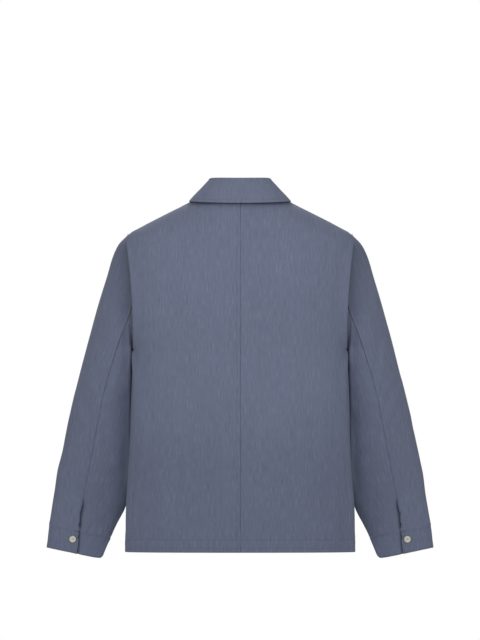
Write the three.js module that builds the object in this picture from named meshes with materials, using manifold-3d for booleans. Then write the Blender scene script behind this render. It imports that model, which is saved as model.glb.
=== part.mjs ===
// A zip-up jacket with a shirt collar, set-in two-piece sleeves and buttoned cuffs, hollow as if worn.
// Millimetres, +Z up, +X is the wearer's left and -Y the front. The origin is in the neck at nape height.
import * as THREE from 'three';
import { mergeVertices } from 'three/addons/utils/BufferGeometryUtils.js';
import Module from 'manifold-3d';

// Cloth and seams
const CLOTH = 1.5;
const HEM_CLOTH = 2.6;
const COLLAR_CLOTH = 2.2;
const CUFF_CLOTH = 2.4;
const TAPE_CLOTH = 1.0;
const SEAM_GAP = 0.3;

// Levels and openings of the body
const HEM_Z = -694;
const HEM_HEIGHT = 24;
const HEM_STEP = 1;
const SHOULDER = { x: 223, z: -80 };
const UNDERARM = { x: 208.6, z: -300 };
const ARMHOLE_BACK = { halfDepth: 60, bow: 4.5 };
const ARMHOLE_FRONT = { halfDepth: 58, bow: 14 };
const NECK_HALF_WIDTH = 77;
const NECK_DROP = 70;
const FRONT_EDGE_X = 5.5;

// Mesh counts
const NECK_ROWS = 8;
const NECK_SPREAD = 1.6;
const ARMHOLE_STEPS = 10;
const SKIRT_ROWS = 8;
const PANEL_COLUMNS = 8;
const UPPER_COLUMNS = 12;
const UNDER_COLUMNS = 8;
const BUTTON_SIDES = 24;
const HOLE_SIDES = 8;
const CURVE_SEGMENTS = 6;
const TAB_SEGMENTS = 10;

// Torso sections: z, half width, depth behind and before the side line, squareness of the back and
// front curves, and the angle of the side seam (90 is the side line, more is further back).
const TORSO = table(['z', 'half', 'back', 'front', 'squareBack', 'squareFront', 'seam'], [
  [HEM_Z, 224.3, 119, 126, 2.5, 2.4, 110],
  [-601, 222.3, 117, 127, 2.6, 2.35, 110],
  [-540, 217.9, 115, 128, 2.7, 2.25, 110],
  [-480, 214.7, 113, 129, 2.8, 2.15, 110],
  [-400, 212.7, 112, 131, 2.8, 2.1, 107],
  [-350, 210.8, 113, 133, 2.8, 2.1, 99],
  [UNDERARM.z, UNDERARM.x, 115, 134, 2.7, 2.2, 90],
  [-260, UNDERARM.x, 118, 133, 2.6, 2.3, 90],
  [-210, 211, 120, 128, 2.5, 2.35, 90],
  [-160, 214, 118, 116, 2.5, 2.35, 90],
  [-120, 218, 110, 101, 2.5, 2.3, 90],
  [SHOULDER.z, SHOULDER.x, 97, 82, 2.4, 2.25, 90],
  [-59, 190, 89, 75, 2.3, 2.2, 90],
  [-35, 143.5, 79, 69, 2.2, 2.15, 90],
  [-17, 108, 70, 64, 2.15, 2.1, 90],
  [0, NECK_HALF_WIDTH, 62, 58, 2.1, 2.1, 90],
]);

// Sleeve sections from the armhole to the cuff: the outer and inner edge points, where the middle
// lies front to back, half the depth, the angle of the back seam and the share of the armhole's bow.
const SLEEVE = table(['outerX', 'outerZ', 'innerX', 'innerZ', 'y', 'half', 'seam', 'bow'], [
  [SHOULDER.x, SHOULDER.z, UNDERARM.x, UNDERARM.z, 0, 0, 108, 1],
  [237, -95, 209.9, -303, -3, 51, 109.4, 0.8],
  [249, -120, 210.6, -309, -7, 49, 109.8, 0.5],
  [260, -156, 210.6, -320, -13, 53, 106.5, 0.2],
  [272, -196, 210.6, -338, -21, 58, 101.7, 0],
  [287, -250, 210.6, -370, -31, 60, 94.4, 0],
  [300, -296, 210.1, -402, -39, 60, 88.6, 0],
  [312, -343, 209.6, -436, -46, 57, 84, 0],
  [324, -390, 209.5, -470, -51, 52, 82.7, 0],
  [335, -437, 210, -505, -55, 46, 81.3, 0],
  [345, -484, 211, -540, -59, 40, 79.6, 0],
  [355, -530, 215.5, -575, -62, 33, 79.5, 0],
  [362.5, -577, 224, -608, -66, 28, 80, 0],
  [370, -624, 241, -641, -69, 25, 86, 0],
  [373.4, -644.5, 253.2, -667, -70, 24, 90.5, 0],
  [378.2, -686.5, 270, -709, -72, 22, 96.7, 0],
]);
const CUFF_TOP_ROW = SLEEVE.length - 2;
const SLIT_TOP_ROW = SLEEVE.length - 4;
const FRONT_SEAM = -108;

// Collar sections round the neck, from 0 at the centre back through 1 at the shoulder to 2 at the
// centre front: how far the stand leans in and rises, and how far the fall bulges off the body.
const COLLAR = table(['place', 'lean', 'rise', 'bulge'], [
  [0, 6, 31, 2],
  [0.6, 13.5, 31, 1.6],
  [1, 23.5, 27, 0.6],
  [1.4, 16, 19, 4],
  [1.8, 5, 10, 7],
  [2, 2, 6, 6],
]);
const FOLD_RADIUS = 2;
const FALL_BACK_Z = -16.2;
const FALL_BACK_EASE = 2;
const FALL_OFF_BODY = 4;
const FALL_SHOULDER = { x: 97, z: -12.2 };
const FALL_BEND = { x: 105, z: -68 };
const COLLAR_POINT = { x: 66, z: -128 };
const STAND_ROWS = 2;
const FOLD_ROWS = 3;
const FALL_ROWS = 4;

// Sleeve ends
const CUFF_LAP_DEG = [10, 20];
const CUFF_LAP_IN = 2.9;
const PLACKET_DEG = [12, 0, -9, -18];
const BUTTON = { radius: 6.1, thickness: 2.6, rim: 1.5, edge: 0.8, dish: 0.6, hole: 0.8, holeAt: 1.7 };
const BUTTON_DEG = 80.8;
const BUTTON_SPAN_DEG = 4;

// Zip
const CHAIN_HALF = 2.9;
const CHAIN_THICKNESS = 3;
const TAPE_WIDTH = 14;
const SLIDER_Z = -88;
const CHAIN_TOP_Z = -87;
const TAPE_TOP_Z = -71;
const CHAIN_BOTTOM_Z = -680;
const TAPE_BOTTOM_Z = -692;
const ZIP_SPAN = 6;
const LEVEL_ROOM = 1;
const PLATE = { width: 9, length: 13, thickness: 1.2, foot: 6.6, round: 4 };
const POST = { width: 2, length: 3, at: 4 };
const BRIDGE = { width: 2, low: -3.2, high: 2.4, bar: 1.1, rise: 3.3 };
const PULL = { rod: 0.6, opening: 1.4, side: 1.3, ring: 5, tab: 24, tip: 3, thickness: 1.2 };
const STOP = { width: 1.8, length: 4, z: -76 };
const BOX = { half: 4.6, length: 9, z: -686.5 };

// Colours and finishes
const CHAMBRAY = 0x67708a;
const CHAMBRAY_FALL = 0x68708a;
const CREAM = 0xe6dfc8;
const TAPE_BLUE = 0x464f66;
const NICKEL = 0xb9bcc2;

const wasm = await Module();
wasm.setup();

// Welding distance, and how finely the points of a seam are told apart
const WELD = 1e-4;
const KEYS_PER_MM = 1000;

const radians = THREE.MathUtils.degToRad;
const vector = (x, y, z) => new THREE.Vector3(x, y, z);

function table(names, rows) {
  return rows.map((row) => Object.fromEntries(names.map((name, i) => [name, row[i]])));
}

// A smooth value of one column between the rows of a table whose key column runs one way.
function sample(rows, key, at, column) {
  const rising = rows[rows.length - 1][key] > rows[0][key];
  const ordered = rising ? rows : [...rows].reverse();
  const last = ordered.length - 1;
  const x = THREE.MathUtils.clamp(at, ordered[0][key], ordered[last][key]);
  let i = 0;
  while (i < last - 1 && x > ordered[i + 1][key]) i += 1;
  const slope = (a, b) => (ordered[b][column] - ordered[a][column]) / (ordered[b][key] - ordered[a][key]);
  const span = ordered[i + 1][key] - ordered[i][key];
  const t = (x - ordered[i][key]) / span;
  const startSlope = slope(Math.max(i - 1, 0), i + 1);
  const endSlope = slope(i, Math.min(i + 2, last));
  const hermite = (2 * t ** 3 - 3 * t ** 2 + 1) * ordered[i][column]
    + (3 * t ** 2 - 2 * t ** 3) * ordered[i + 1][column];
  return hermite + span * ((t ** 3 - 2 * t ** 2 + t) * startSlope + (t ** 3 - t ** 2) * endSlope);
}

const torsoAt = (z, column) => sample(TORSO, 'z', z, column);

// The half width and the armhole's edge of the torso's back or front half at a height.
function torsoHalf(z, back) {
  const hole = back ? ARMHOLE_BACK : ARMHOLE_FRONT;
  const depth = torsoAt(z, back ? 'back' : 'front');
  const square = torsoAt(z, back ? 'squareBack' : 'squareFront');
  if (z >= SHOULDER.z || z <= UNDERARM.z) {
    return { half: torsoAt(z, 'half'), depth, square, edge: null };
  }
  const share = (z - UNDERARM.z) / (SHOULDER.z - UNDERARM.z);
  const bow = 4 * share * (1 - share) * hole.bow;
  const edgeX = THREE.MathUtils.lerp(UNDERARM.x, SHOULDER.x, share) - bow;
  const edgeY = 2 * Math.sqrt(share * (1 - share)) * hole.halfDepth;
  const half = edgeX / (1 - (edgeY / depth) ** square) ** (1 / square);
  return { half, depth, square, edge: Math.asin((edgeX / half) ** (square / 2)) };
}

// A point on the torso: the angle is 0 at the centre front, 90 at the side and 180 at the centre back.
function torsoPoint(z, angle) {
  const back = angle > Math.PI / 2;
  const { half, depth, square } = torsoHalf(z, back);
  const x = half * Math.abs(Math.sin(angle)) ** (2 / square);
  const y = depth * Math.abs(Math.cos(angle)) ** (2 / square);
  return vector(x, back ? y : -y, z);
}

function angleAtX(z, x) {
  const { half, square } = torsoHalf(z, false);
  return Math.asin(Math.min(x / half, 1) ** (square / 2));
}

// The neckline's height and width in front, from 0 at the shoulder to 1 at the centre front.
function neckline(share) {
  const turn = (Math.PI / 2) * share ** NECK_SPREAD;
  const x = FRONT_EDGE_X + (NECK_HALF_WIDTH - FRONT_EDGE_X) * Math.cos(turn);
  return { x, z: -NECK_DROP * Math.sin(turn) };
}

// The heights of the rows, from the neck down, shared by the fronts and the backs.
function torsoRows() {
  const rows = [];
  for (let i = 0; i <= NECK_ROWS; i += 1) rows.push(neckline(i / NECK_ROWS));
  for (let i = 0; i <= ARMHOLE_STEPS; i += 1) {
    const share = (1 + Math.cos((Math.PI * i) / ARMHOLE_STEPS)) / 2;
    rows.push({ x: FRONT_EDGE_X, z: THREE.MathUtils.lerp(UNDERARM.z, SHOULDER.z, share) });
  }
  const hemTop = HEM_Z + HEM_HEIGHT;
  for (let i = 1; i <= SKIRT_ROWS; i += 1) {
    rows.push({ x: FRONT_EDGE_X, z: THREE.MathUtils.lerp(UNDERARM.z, hemTop + HEM_STEP, i / SKIRT_ROWS) });
  }
  rows.push({ x: FRONT_EDGE_X, z: hemTop });
  rows.push({ x: FRONT_EDGE_X, z: HEM_Z });
  return rows;
}

function panelRow(z, from, to) {
  const row = [];
  for (let i = 0; i <= PANEL_COLUMNS; i += 1) {
    row.push(torsoPoint(z, THREE.MathUtils.lerp(from, to, i / PANEL_COLUMNS)));
  }
  return row;
}

function backGrid() {
  return torsoRows().map(({ z }) => {
    const { edge } = torsoHalf(z, true);
    const seam = edge === null ? radians(torsoAt(z, 'seam')) : Math.PI - edge;
    return panelRow(z, Math.PI, seam);
  });
}

function frontGrid() {
  return torsoRows().map(({ z, x }) => {
    const { edge } = torsoHalf(z, false);
    const seam = edge === null ? radians(torsoAt(z, 'seam')) : edge;
    return panelRow(z, seam, angleAtX(z, x));
  });
}

// A point on the sleeve's ring: the angle is 0 at the outer edge, 90 behind and 180 at the inner edge.
function sleevePoint(section, angle) {
  const across = Math.cos(angle);
  const hole = Math.sin(angle) > 0 ? ARMHOLE_BACK : ARMHOLE_FRONT;
  const half = section.half || hole.halfDepth;
  const bow = section.bow * hole.bow * (1 - across ** 2);
  const share = (1 + across) / 2;
  return vector(
    THREE.MathUtils.lerp(section.innerX, section.outerX, share) - bow,
    section.y + half * Math.sin(angle),
    THREE.MathUtils.lerp(section.innerZ, section.outerZ, share),
  );
}

function sleeveGrid(rows, from, to, columns) {
  return rows.map((section) => {
    const row = [];
    for (let i = 0; i <= columns; i += 1) {
      const angle = THREE.MathUtils.lerp(from(section), to(section), i / columns);
      row.push(sleevePoint(section, radians(angle)));
    }
    return row;
  });
}

const seamAngle = (section) => section.seam;
const frontSeam = () => FRONT_SEAM;
const seamAngleAgain = (section) => section.seam - 360;

// Normals of a grid of points; every piece's grid is wound so that they point out of the jacket.
function gridNormals(grid) {
  const lastRow = grid.length - 1;
  const lastColumn = grid[0].length - 1;
  return grid.map((row, i) => row.map((point, j) => {
    const along = grid[i][Math.min(j + 1, lastColumn)].clone().sub(grid[i][Math.max(j - 1, 0)]);
    const down = grid[Math.min(i + 1, lastRow)][j].clone().sub(grid[Math.max(i - 1, 0)][j]);
    return along.cross(down).normalize();
  }));
}

const keyOf = (point) => [point.x, point.y, point.z].map((value) => Math.round(value * KEYS_PER_MM)).join();

// Gives the points that pieces share at a seam one common normal, so that their edges are mitred.
function shareSeamNormals(pieces) {
  const sums = new Map();
  pieces.forEach(({ grid, normals }) => grid.forEach((row, i) => row.forEach((point, j) => {
    const key = keyOf(point);
    if (!sums.has(key)) sums.set(key, vector(0, 0, 0));
    sums.get(key).add(normals[i][j]);
  })));
  pieces.forEach(({ grid, normals }) => grid.forEach((row, i) => row.forEach((point, j) => {
    const sum = sums.get(keyOf(point)).clone();
    if (Math.abs(point.x) < SEAM_GAP / 2) sum.x = 0;
    normals[i][j].copy(sum).normalize();
  })));
}

// How far an edge point moves into its own piece, at right angles to the edge and the normal.
function trimStep(point, inside, before, after, normal) {
  const edge = after.clone().sub(before);
  const inward = edge.cross(normal).normalize();
  if (inward.dot(inside.clone().sub(point)) < 0) inward.negate();
  return inward.multiplyScalar(SEAM_GAP / 2);
}

function trimmed(grid, normals) {
  const lastRow = grid.length - 1;
  const lastColumn = grid[0].length - 1;
  return grid.map((row, i) => row.map((point, j) => {
    const moved = point.clone();
    if (i === 0 || i === lastRow) {
      const inside = grid[i === 0 ? 1 : lastRow - 1][j];
      const before = row[Math.max(j - 1, 0)];
      const after = row[Math.min(j + 1, lastColumn)];
      moved.add(trimStep(point, inside, before, after, normals[i][j]));
    }
    if (j === 0 || j === lastColumn) {
      const inside = row[j === 0 ? 1 : lastColumn - 1];
      const before = grid[Math.max(i - 1, 0)][j];
      const after = grid[Math.min(i + 1, lastRow)][j];
      moved.add(trimStep(point, inside, before, after, normals[i][j]));
    }
    return moved;
  }));
}

function signedVolume(positions, index) {
  let volume = 0;
  const corner = (i) => vector().fromArray(positions, 3 * i);
  for (let i = 0; i < index.length; i += 3) {
    volume += corner(index[i]).dot(corner(index[i + 1]).cross(corner(index[i + 2])));
  }
  return volume;
}

// Closes the space between two grids of points into one wall.
function wallGeometry(outer, inner) {
  const rows = outer.length;
  const columns = outer[0].length;
  const positions = [...outer.flat(), ...inner.flat()].flatMap((point) => point.toArray());
  const at = (i, j, side) => side * rows * columns + i * columns + j;
  const index = [];
  const quad = (a, b, c, d) => index.push(a, b, c, a, c, d);
  for (let i = 0; i < rows - 1; i += 1) {
    for (let j = 0; j < columns - 1; j += 1) {
      quad(at(i, j, 0), at(i + 1, j, 0), at(i + 1, j + 1, 0), at(i, j + 1, 0));
      quad(at(i, j, 1), at(i, j + 1, 1), at(i + 1, j + 1, 1), at(i + 1, j, 1));
    }
    quad(at(i, 0, 0), at(i, 0, 1), at(i + 1, 0, 1), at(i + 1, 0, 0));
    const end = columns - 1;
    quad(at(i, end, 0), at(i + 1, end, 0), at(i + 1, end, 1), at(i, end, 1));
  }
  for (let j = 0; j < columns - 1; j += 1) {
    quad(at(0, j, 0), at(0, j + 1, 0), at(0, j + 1, 1), at(0, j, 1));
    quad(at(rows - 1, j, 0), at(rows - 1, j, 1), at(rows - 1, j + 1, 1), at(rows - 1, j + 1, 0));
  }
  if (signedVolume(positions, index) < 0) index.reverse();
  const geometry = new THREE.BufferGeometry();
  geometry.setAttribute('position', new THREE.Float32BufferAttribute(positions, 3));
  geometry.setIndex(index);
  return geometry;
}

const offsetGrid = (grid, normals, distance) => grid.map((row, i) => row.map(
  (point, j) => point.clone().addScaledVector(normals[i][j], distance(i, j)),
));

// The collar follows the neckline: its under face turns up at the seam, over the fold and down.
function neckPoints() {
  const backRow = backGrid()[0];
  const backPlaces = backRow.map((point, i) => ({ point, place: i / PANEL_COLUMNS }));
  const frontPlaces = frontGrid().slice(1, NECK_ROWS + 1).map((row, i) => (
    { point: row[PANEL_COLUMNS], place: 1 + (i + 1) / NECK_ROWS }));
  return [...backPlaces, ...frontPlaces];
}

// Where the fall's edge lies over the body: the height and the angle round the torso.
function fallEdge(place, neckPoint) {
  if (place <= 1) {
    const z = THREE.MathUtils.lerp(FALL_BACK_Z, FALL_SHOULDER.z, place ** FALL_BACK_EASE);
    const across = (neckPoint.x / NECK_HALF_WIDTH) ** (torsoAt(0, 'squareBack') / 2);
    return { z, angle: Math.PI - Math.asin(across) };
  }
  const t = (place - 1) ** NECK_SPREAD;
  const curve = (a, b, c) => (1 - t) ** 2 * a + 2 * t * (1 - t) * b + t ** 2 * c;
  const z = curve(FALL_SHOULDER.z, FALL_BEND.z, COLLAR_POINT.z);
  return { z, angle: angleAtX(z, curve(FALL_SHOULDER.x, FALL_BEND.x, COLLAR_POINT.x)) };
}

// The torso's outward normal at an angle, from points a small step to each side.
function bodyNormal(z, angle) {
  const turn = 0.04;
  const step = 2;
  const along = torsoPoint(z, angle - turn).sub(torsoPoint(z, angle + turn));
  const down = torsoPoint(z - step, angle).sub(torsoPoint(z + step, angle));
  return along.cross(down).normalize();
}

function collarColumn(point, place, outward) {
  const lean = sample(COLLAR, 'place', place, 'lean');
  const rise = sample(COLLAR, 'place', place, 'rise');
  const bulge = sample(COLLAR, 'place', place, 'bulge');
  const column = [];
  const foldCentre = point.clone().addScaledVector(outward, FOLD_RADIUS - lean);
  foldCentre.z += rise;
  const standTop = foldCentre.clone().addScaledVector(outward, -FOLD_RADIUS);
  for (let i = 0; i < STAND_ROWS; i += 1) column.push(point.clone().lerp(standTop, i / STAND_ROWS));
  for (let i = 0; i < FOLD_ROWS; i += 1) {
    const turn = (Math.PI * i) / FOLD_ROWS;
    const fold = foldCentre.clone().addScaledVector(outward, -FOLD_RADIUS * Math.cos(turn));
    fold.z += FOLD_RADIUS * Math.sin(turn);
    column.push(fold);
  }
  const foldEnd = foldCentre.clone().addScaledVector(outward, FOLD_RADIUS);
  const { z, angle } = fallEdge(place, point);
  const off = bodyNormal(z, angle);
  const edge = torsoPoint(z, angle).addScaledVector(off, FALL_OFF_BODY - COLLAR_CLOTH);
  for (let i = 0; i <= FALL_ROWS; i += 1) {
    const t = i / FALL_ROWS;
    column.push(foldEnd.clone().lerp(edge, t).addScaledVector(off, 4 * bulge * t * (1 - t)));
  }
  return column;
}

const mirrored = (point) => vector(-point.x, point.y, point.z);

// The direction away from the neck, level, at each point from the centre back to the centre front.
function neckOutward(points, i) {
  const before = i === 0 ? mirrored(points[1].point) : points[i - 1].point;
  const after = points[Math.min(i + 1, points.length - 1)].point;
  return vector(before.y - after.y, after.x - before.x, 0).normalize();
}

// Rows run from the seam to the fall's edge, and columns from the wearer's left to the right.
function collarGrid() {
  const points = neckPoints();
  const left = points.map(({ point, place }, i) => collarColumn(point, place, neckOutward(points, i)));
  const right = left.slice(1).map((column) => column.map(mirrored));
  const columns = [...left.reverse(), ...right];
  return columns[0].map((_, j) => columns.map((column) => column[j]));
}

// The cuff goes once round from the slit, then on beneath its own buttoned end.
function cuffGrid() {
  const rows = SLEEVE.slice(CUFF_TOP_ROW);
  const middle = { ...rows[0] };
  Object.keys(middle).forEach((name) => { middle[name] = (rows[0][name] + rows[1][name]) / 2; });
  return [rows[0], middle, rows[1]].map((section) => {
    const upper = sleeveGrid([section], seamAngle, frontSeam, UPPER_COLUMNS)[0];
    const under = sleeveGrid([section], frontSeam, seamAngleAgain, UNDER_COLUMNS)[0];
    const lap = CUFF_LAP_DEG.map((deg) => sleevePoint(section, radians(section.seam - deg)));
    return [...upper, ...under.slice(1), ...lap];
  });
}

const clothMaterial = (color) => new THREE.MeshStandardMaterial({ color, roughness: 0.9, metalness: 0 });
const metalMaterial = () => new THREE.MeshStandardMaterial({ color: NICKEL, roughness: 0.3, metalness: 1 });

const jacket = new THREE.Group();

function addMesh(name, geometry, material, parent = jacket) {
  const mesh = new THREE.Mesh(geometry, material);
  mesh.name = name;
  parent.add(mesh);
  return mesh;
}

// Both sides of the garment: each left grid and its mirror image.
function pair(name, grid, thickness) {
  const reversed = grid.map((row) => row.map(mirrored).reverse());
  return [
    { name: `${name}_left`, grid, thickness, paired: true },
    { name: `${name}_right`, grid: reversed, thickness, mirror: true },
  ];
}

function mirroredGeometry(geometry) {
  const copy = geometry.clone();
  copy.scale(-1, 1, 1);
  copy.index.array.reverse();
  return copy;
}

function withNormals(piece) {
  return { ...piece, normals: gridNormals(piece.grid) };
}

function clothPieces() {
  const hemRows = torsoRows().length - 2;
  const panelThickness = (i) => (i >= hemRows ? HEM_CLOTH : CLOTH);
  const sleeveRows = SLEEVE.slice(0, CUFF_TOP_ROW + 1);
  const cuff = cuffGrid();
  return [
    ...pair('back', backGrid(), panelThickness),
    ...pair('front', frontGrid(), panelThickness),
    ...pair('sleeve_upper', sleeveGrid(sleeveRows, seamAngle, frontSeam, UPPER_COLUMNS), () => CLOTH),
    ...pair('sleeve_under', sleeveGrid(sleeveRows, frontSeam, seamAngleAgain, UNDER_COLUMNS), () => CLOTH),
    ...pair('cuff', cuff, () => CUFF_CLOTH),
    { name: 'collar', grid: collarGrid(), thickness: () => COLLAR_CLOTH },
  ].map(withNormals);
}

function insetCuff({ name, grid, normals }) {
  if (name !== 'cuff_left') return grid;
  const full = grid[0].length - 1 - CUFF_LAP_DEG.length;
  return offsetGrid(grid, normals, (i, j) => -CUFF_LAP_IN * THREE.MathUtils.smoothstep(j, full - 2, full));
}

function addCloth(piece, outer, inner, color) {
  const geometry = wallGeometry(outer, inner);
  addMesh(piece.name, geometry, clothMaterial(color));
  if (!piece.paired) return;
  addMesh(piece.name.replace('left', 'right'), mirroredGeometry(geometry), clothMaterial(color));
}

function buildCloth() {
  const pieces = clothPieces();
  shareSeamNormals(pieces);
  pieces.filter(({ mirror }) => !mirror).forEach((piece) => {
    const outer = trimmed(insetCuff(piece), piece.normals);
    const inner = offsetGrid(outer, piece.normals, (i) => -piece.thickness(i));
    addCloth(piece, outer, inner, piece.paired ? CHAMBRAY : CHAMBRAY_FALL);
  });
}

// The strip behind each slit, from the under sleeve to beneath the upper sleeve's edge.
function buildPlackets() {
  const grid = SLEEVE.slice(SLIT_TOP_ROW, CUFF_TOP_ROW + 1).map((section) => PLACKET_DEG.map(
    (deg) => sleevePoint(section, radians(section.seam + deg)),
  ));
  const piece = withNormals({ name: 'placket_left', grid, paired: true });
  const face = trimmed(grid, piece.normals);
  const outer = offsetGrid(face, piece.normals, () => -(CLOTH + 2 * SEAM_GAP));
  const inner = offsetGrid(outer, piece.normals, () => -CLOTH);
  addCloth(piece, outer, inner, CHAMBRAY);
}

// manifold-3d only joins and cuts closed three.js meshes.
function solid(geometry, move = [0, 0, 0]) {
  const placed = geometry.clone();
  placed.translate(...move);
  placed.deleteAttribute('normal');
  placed.deleteAttribute('uv');
  const merged = mergeVertices(placed, WELD);
  return new wasm.Manifold(new wasm.Mesh({
    numProp: 3,
    vertProperties: merged.attributes.position.array,
    triVerts: new Uint32Array(merged.index.array),
  }));
}

function geometryOf(manifold) {
  const mesh = manifold.getMesh();
  const geometry = new THREE.BufferGeometry();
  geometry.setAttribute('position', new THREE.BufferAttribute(mesh.vertProperties, 3));
  geometry.setIndex(new THREE.BufferAttribute(mesh.triVerts, 1));
  return geometry;
}

const box = (x, y, z) => new THREE.BoxGeometry(x, y, z);

function buttonGeometry() {
  const { radius, thickness, rim, edge, dish, hole, holeAt } = BUTTON;
  const profile = [
    [0, 0], [radius - edge, 0], [radius, edge], [radius, thickness - edge], [radius - edge, thickness],
    [radius - rim, thickness], [radius - rim - edge, thickness - dish], [0, thickness - dish],
  ].map(([x, y]) => new THREE.Vector2(x, y));
  let disc = solid(new THREE.LatheGeometry(profile, BUTTON_SIDES));
  for (const [x, z] of [[holeAt, 0], [-holeAt, 0], [0, holeAt], [0, -holeAt]]) {
    const spike = new THREE.CylinderGeometry(hole, hole, 3 * thickness, HOLE_SIDES);
    disc = disc.subtract(solid(spike, [x, 0, z]));
  }
  return geometryOf(disc);
}

// Each button lies on the buttoned end of its cuff, half way up.
function buildButtons() {
  const [top, bottom] = SLEEVE.slice(CUFF_TOP_ROW);
  const at = (deg) => sleevePoint(top, radians(deg)).lerp(sleevePoint(bottom, radians(deg)), 0.5);
  const middle = at(BUTTON_DEG);
  const along = at(BUTTON_DEG - BUTTON_SPAN_DEG).sub(at(BUTTON_DEG + BUTTON_SPAN_DEG)).normalize();
  const down = sleevePoint(bottom, radians(BUTTON_DEG)).sub(sleevePoint(top, radians(BUTTON_DEG)));
  const out = along.clone().cross(down).normalize();
  middle.addScaledVector(out, 2 * SEAM_GAP);
  for (const [name, side] of [['cuff_button_left', 1], ['cuff_button_right', -1]]) {
    const button = addMesh(name, buttonGeometry(), clothMaterial(CREAM));
    button.position.set(side * middle.x, middle.y, middle.z);
    button.quaternion.setFromUnitVectors(vector(0, 1, 0), vector(side * out.x, out.y, out.z));
  }
}

// A strip down the centre front, made from the front panel's own facets and set back from them.
function zipStrip(fromZ, toZ, fromX, toX, depthAt, thickness) {
  const panel = frontGrid().slice(NECK_ROWS);
  const levels = panel.map((row) => row[0].z).filter((z) => z < fromZ - LEVEL_ROOM && z > toZ + LEVEL_ROOM);
  const grid = [fromZ, ...levels, toZ].map((z) => [fromX, toX].map((x) => panelFacet(panel, z, x)));
  const normals = gridNormals(grid);
  const outer = offsetGrid(grid, normals, (i) => -depthAt(grid[i][0].z));
  const inner = offsetGrid(outer, normals, () => -thickness);
  return wallGeometry(outer, inner);
}

function panelFacet(panel, z, x) {
  const below = panel.findIndex((row) => row[0].z <= z);
  const [high, low] = [panel[Math.max(below - 1, 0)], panel[below]];
  const share = (high[0].z - z) / (high[0].z - low[0].z || 1);
  const [inside, edge] = [PANEL_COLUMNS - 1, PANEL_COLUMNS].map((j) => high[j].clone().lerp(low[j], share));
  const across = THREE.MathUtils.clamp((Math.abs(x) - edge.x) / (inside.x - edge.x), 0, 1);
  const point = edge.lerp(inside, across);
  return vector(x, point.y, z);
}

const tapeDepth = (z) => SEAM_GAP + (z <= HEM_Z + HEM_HEIGHT + 2 * HEM_STEP ? HEM_CLOTH : CLOTH);
const chainDepth = (z) => tapeDepth(z) + (TAPE_CLOTH - CHAIN_THICKNESS) / 2;

function buildZip() {
  const start = CHAIN_HALF + SEAM_GAP;
  const end = CHAIN_HALF + TAPE_WIDTH;
  const tape = zipStrip(TAPE_TOP_Z, TAPE_BOTTOM_Z, end, start, tapeDepth, TAPE_CLOTH);
  addMesh('zip_tape_left', tape, clothMaterial(TAPE_BLUE));
  addMesh('zip_tape_right', mirroredGeometry(tape), clothMaterial(TAPE_BLUE));
  const chain = zipStrip(CHAIN_TOP_Z, CHAIN_BOTTOM_Z, CHAIN_HALF, -CHAIN_HALF, chainDepth, CHAIN_THICKNESS);
  addMesh('zip_chain', chain, metalMaterial());
}

// A group whose +Z runs up the zip and whose -Y points out, on the chain's middle.
function zipPlace(z) {
  const up = torsoPoint(z + ZIP_SPAN, 0).sub(torsoPoint(z - ZIP_SPAN, 0)).normalize();
  const out = vector(0, -up.z, up.y);
  const group = new THREE.Group();
  group.position.copy(torsoPoint(z, 0)).addScaledVector(out, -(tapeDepth(z) + TAPE_CLOTH / 2));
  group.rotation.x = -Math.atan2(up.y, up.z);
  jacket.add(group);
  return group;
}

function plateShape() {
  const { width, length, foot, round } = PLATE;
  const shape = new THREE.Shape();
  shape.moveTo(-foot / 2, -length / 2);
  shape.lineTo(foot / 2, -length / 2);
  shape.lineTo(width / 2, length / 2 - round);
  shape.quadraticCurveTo(width / 2, length / 2, 0, length / 2);
  shape.quadraticCurveTo(-width / 2, length / 2, -width / 2, length / 2 - round);
  shape.closePath();
  return shape;
}

// Two plates round the chain, a post where the tapes part, and a bridge for the pull.
function sliderGeometry() {
  const { thickness } = PLATE;
  const near = CHAIN_THICKNESS / 2 + SEAM_GAP;
  const flat = new THREE.ExtrudeGeometry(plateShape(), {
    depth: thickness,
    bevelEnabled: false,
    curveSegments: CURVE_SEGMENTS,
  });
  flat.rotateX(Math.PI / 2);
  const front = solid(flat, [0, -near, 0]);
  const back = solid(flat, [0, near + thickness, 0]);
  const post = solid(box(POST.width, 2 * near + thickness, POST.length), [0, 0, POST.at]);
  const face = near + thickness;
  const footHeight = BRIDGE.rise + thickness / 2;
  const foot = box(BRIDGE.width, footHeight, BRIDGE.bar);
  const footY = -(face - thickness / 2 + footHeight / 2);
  const low = solid(foot, [0, footY, BRIDGE.low + BRIDGE.bar / 2]);
  const high = solid(foot, [0, footY, BRIDGE.high - BRIDGE.bar / 2]);
  const span = BRIDGE.high - BRIDGE.low;
  const barY = -(face + BRIDGE.rise - BRIDGE.bar / 2);
  const bar = solid(box(BRIDGE.width, BRIDGE.bar, span), [0, barY, (BRIDGE.high + BRIDGE.low) / 2]);
  return geometryOf([back, post, low, high, bar].reduce((whole, next) => whole.add(next), front));
}

// The pull hangs from its rod: the rod passes beneath the bridge, and the tab lies down the zip.
function pullGeometry() {
  const { rod, opening, side, ring, tab, tip, thickness } = PULL;
  const half = opening + side;
  const shoulder = ring + side;
  const outline = new THREE.Shape();
  outline.moveTo(-half, rod);
  outline.lineTo(-half, -shoulder);
  outline.absarc(0, -ring - tab + tip, tip, Math.PI, 2 * Math.PI, false);
  outline.lineTo(half, -shoulder);
  outline.lineTo(half, rod);
  outline.closePath();
  const hole = new THREE.Path();
  hole.moveTo(-opening, -rod);
  hole.lineTo(opening, -rod);
  hole.lineTo(opening, -ring);
  hole.lineTo(-opening, -ring);
  hole.closePath();
  outline.holes.push(hole);
  const plate = new THREE.ExtrudeGeometry(outline, {
    depth: thickness,
    bevelEnabled: false,
    curveSegments: TAB_SEGMENTS,
  });
  plate.rotateX(Math.PI / 2);
  plate.translate(0, thickness / 2, 0);
  return plate;
}

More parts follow.
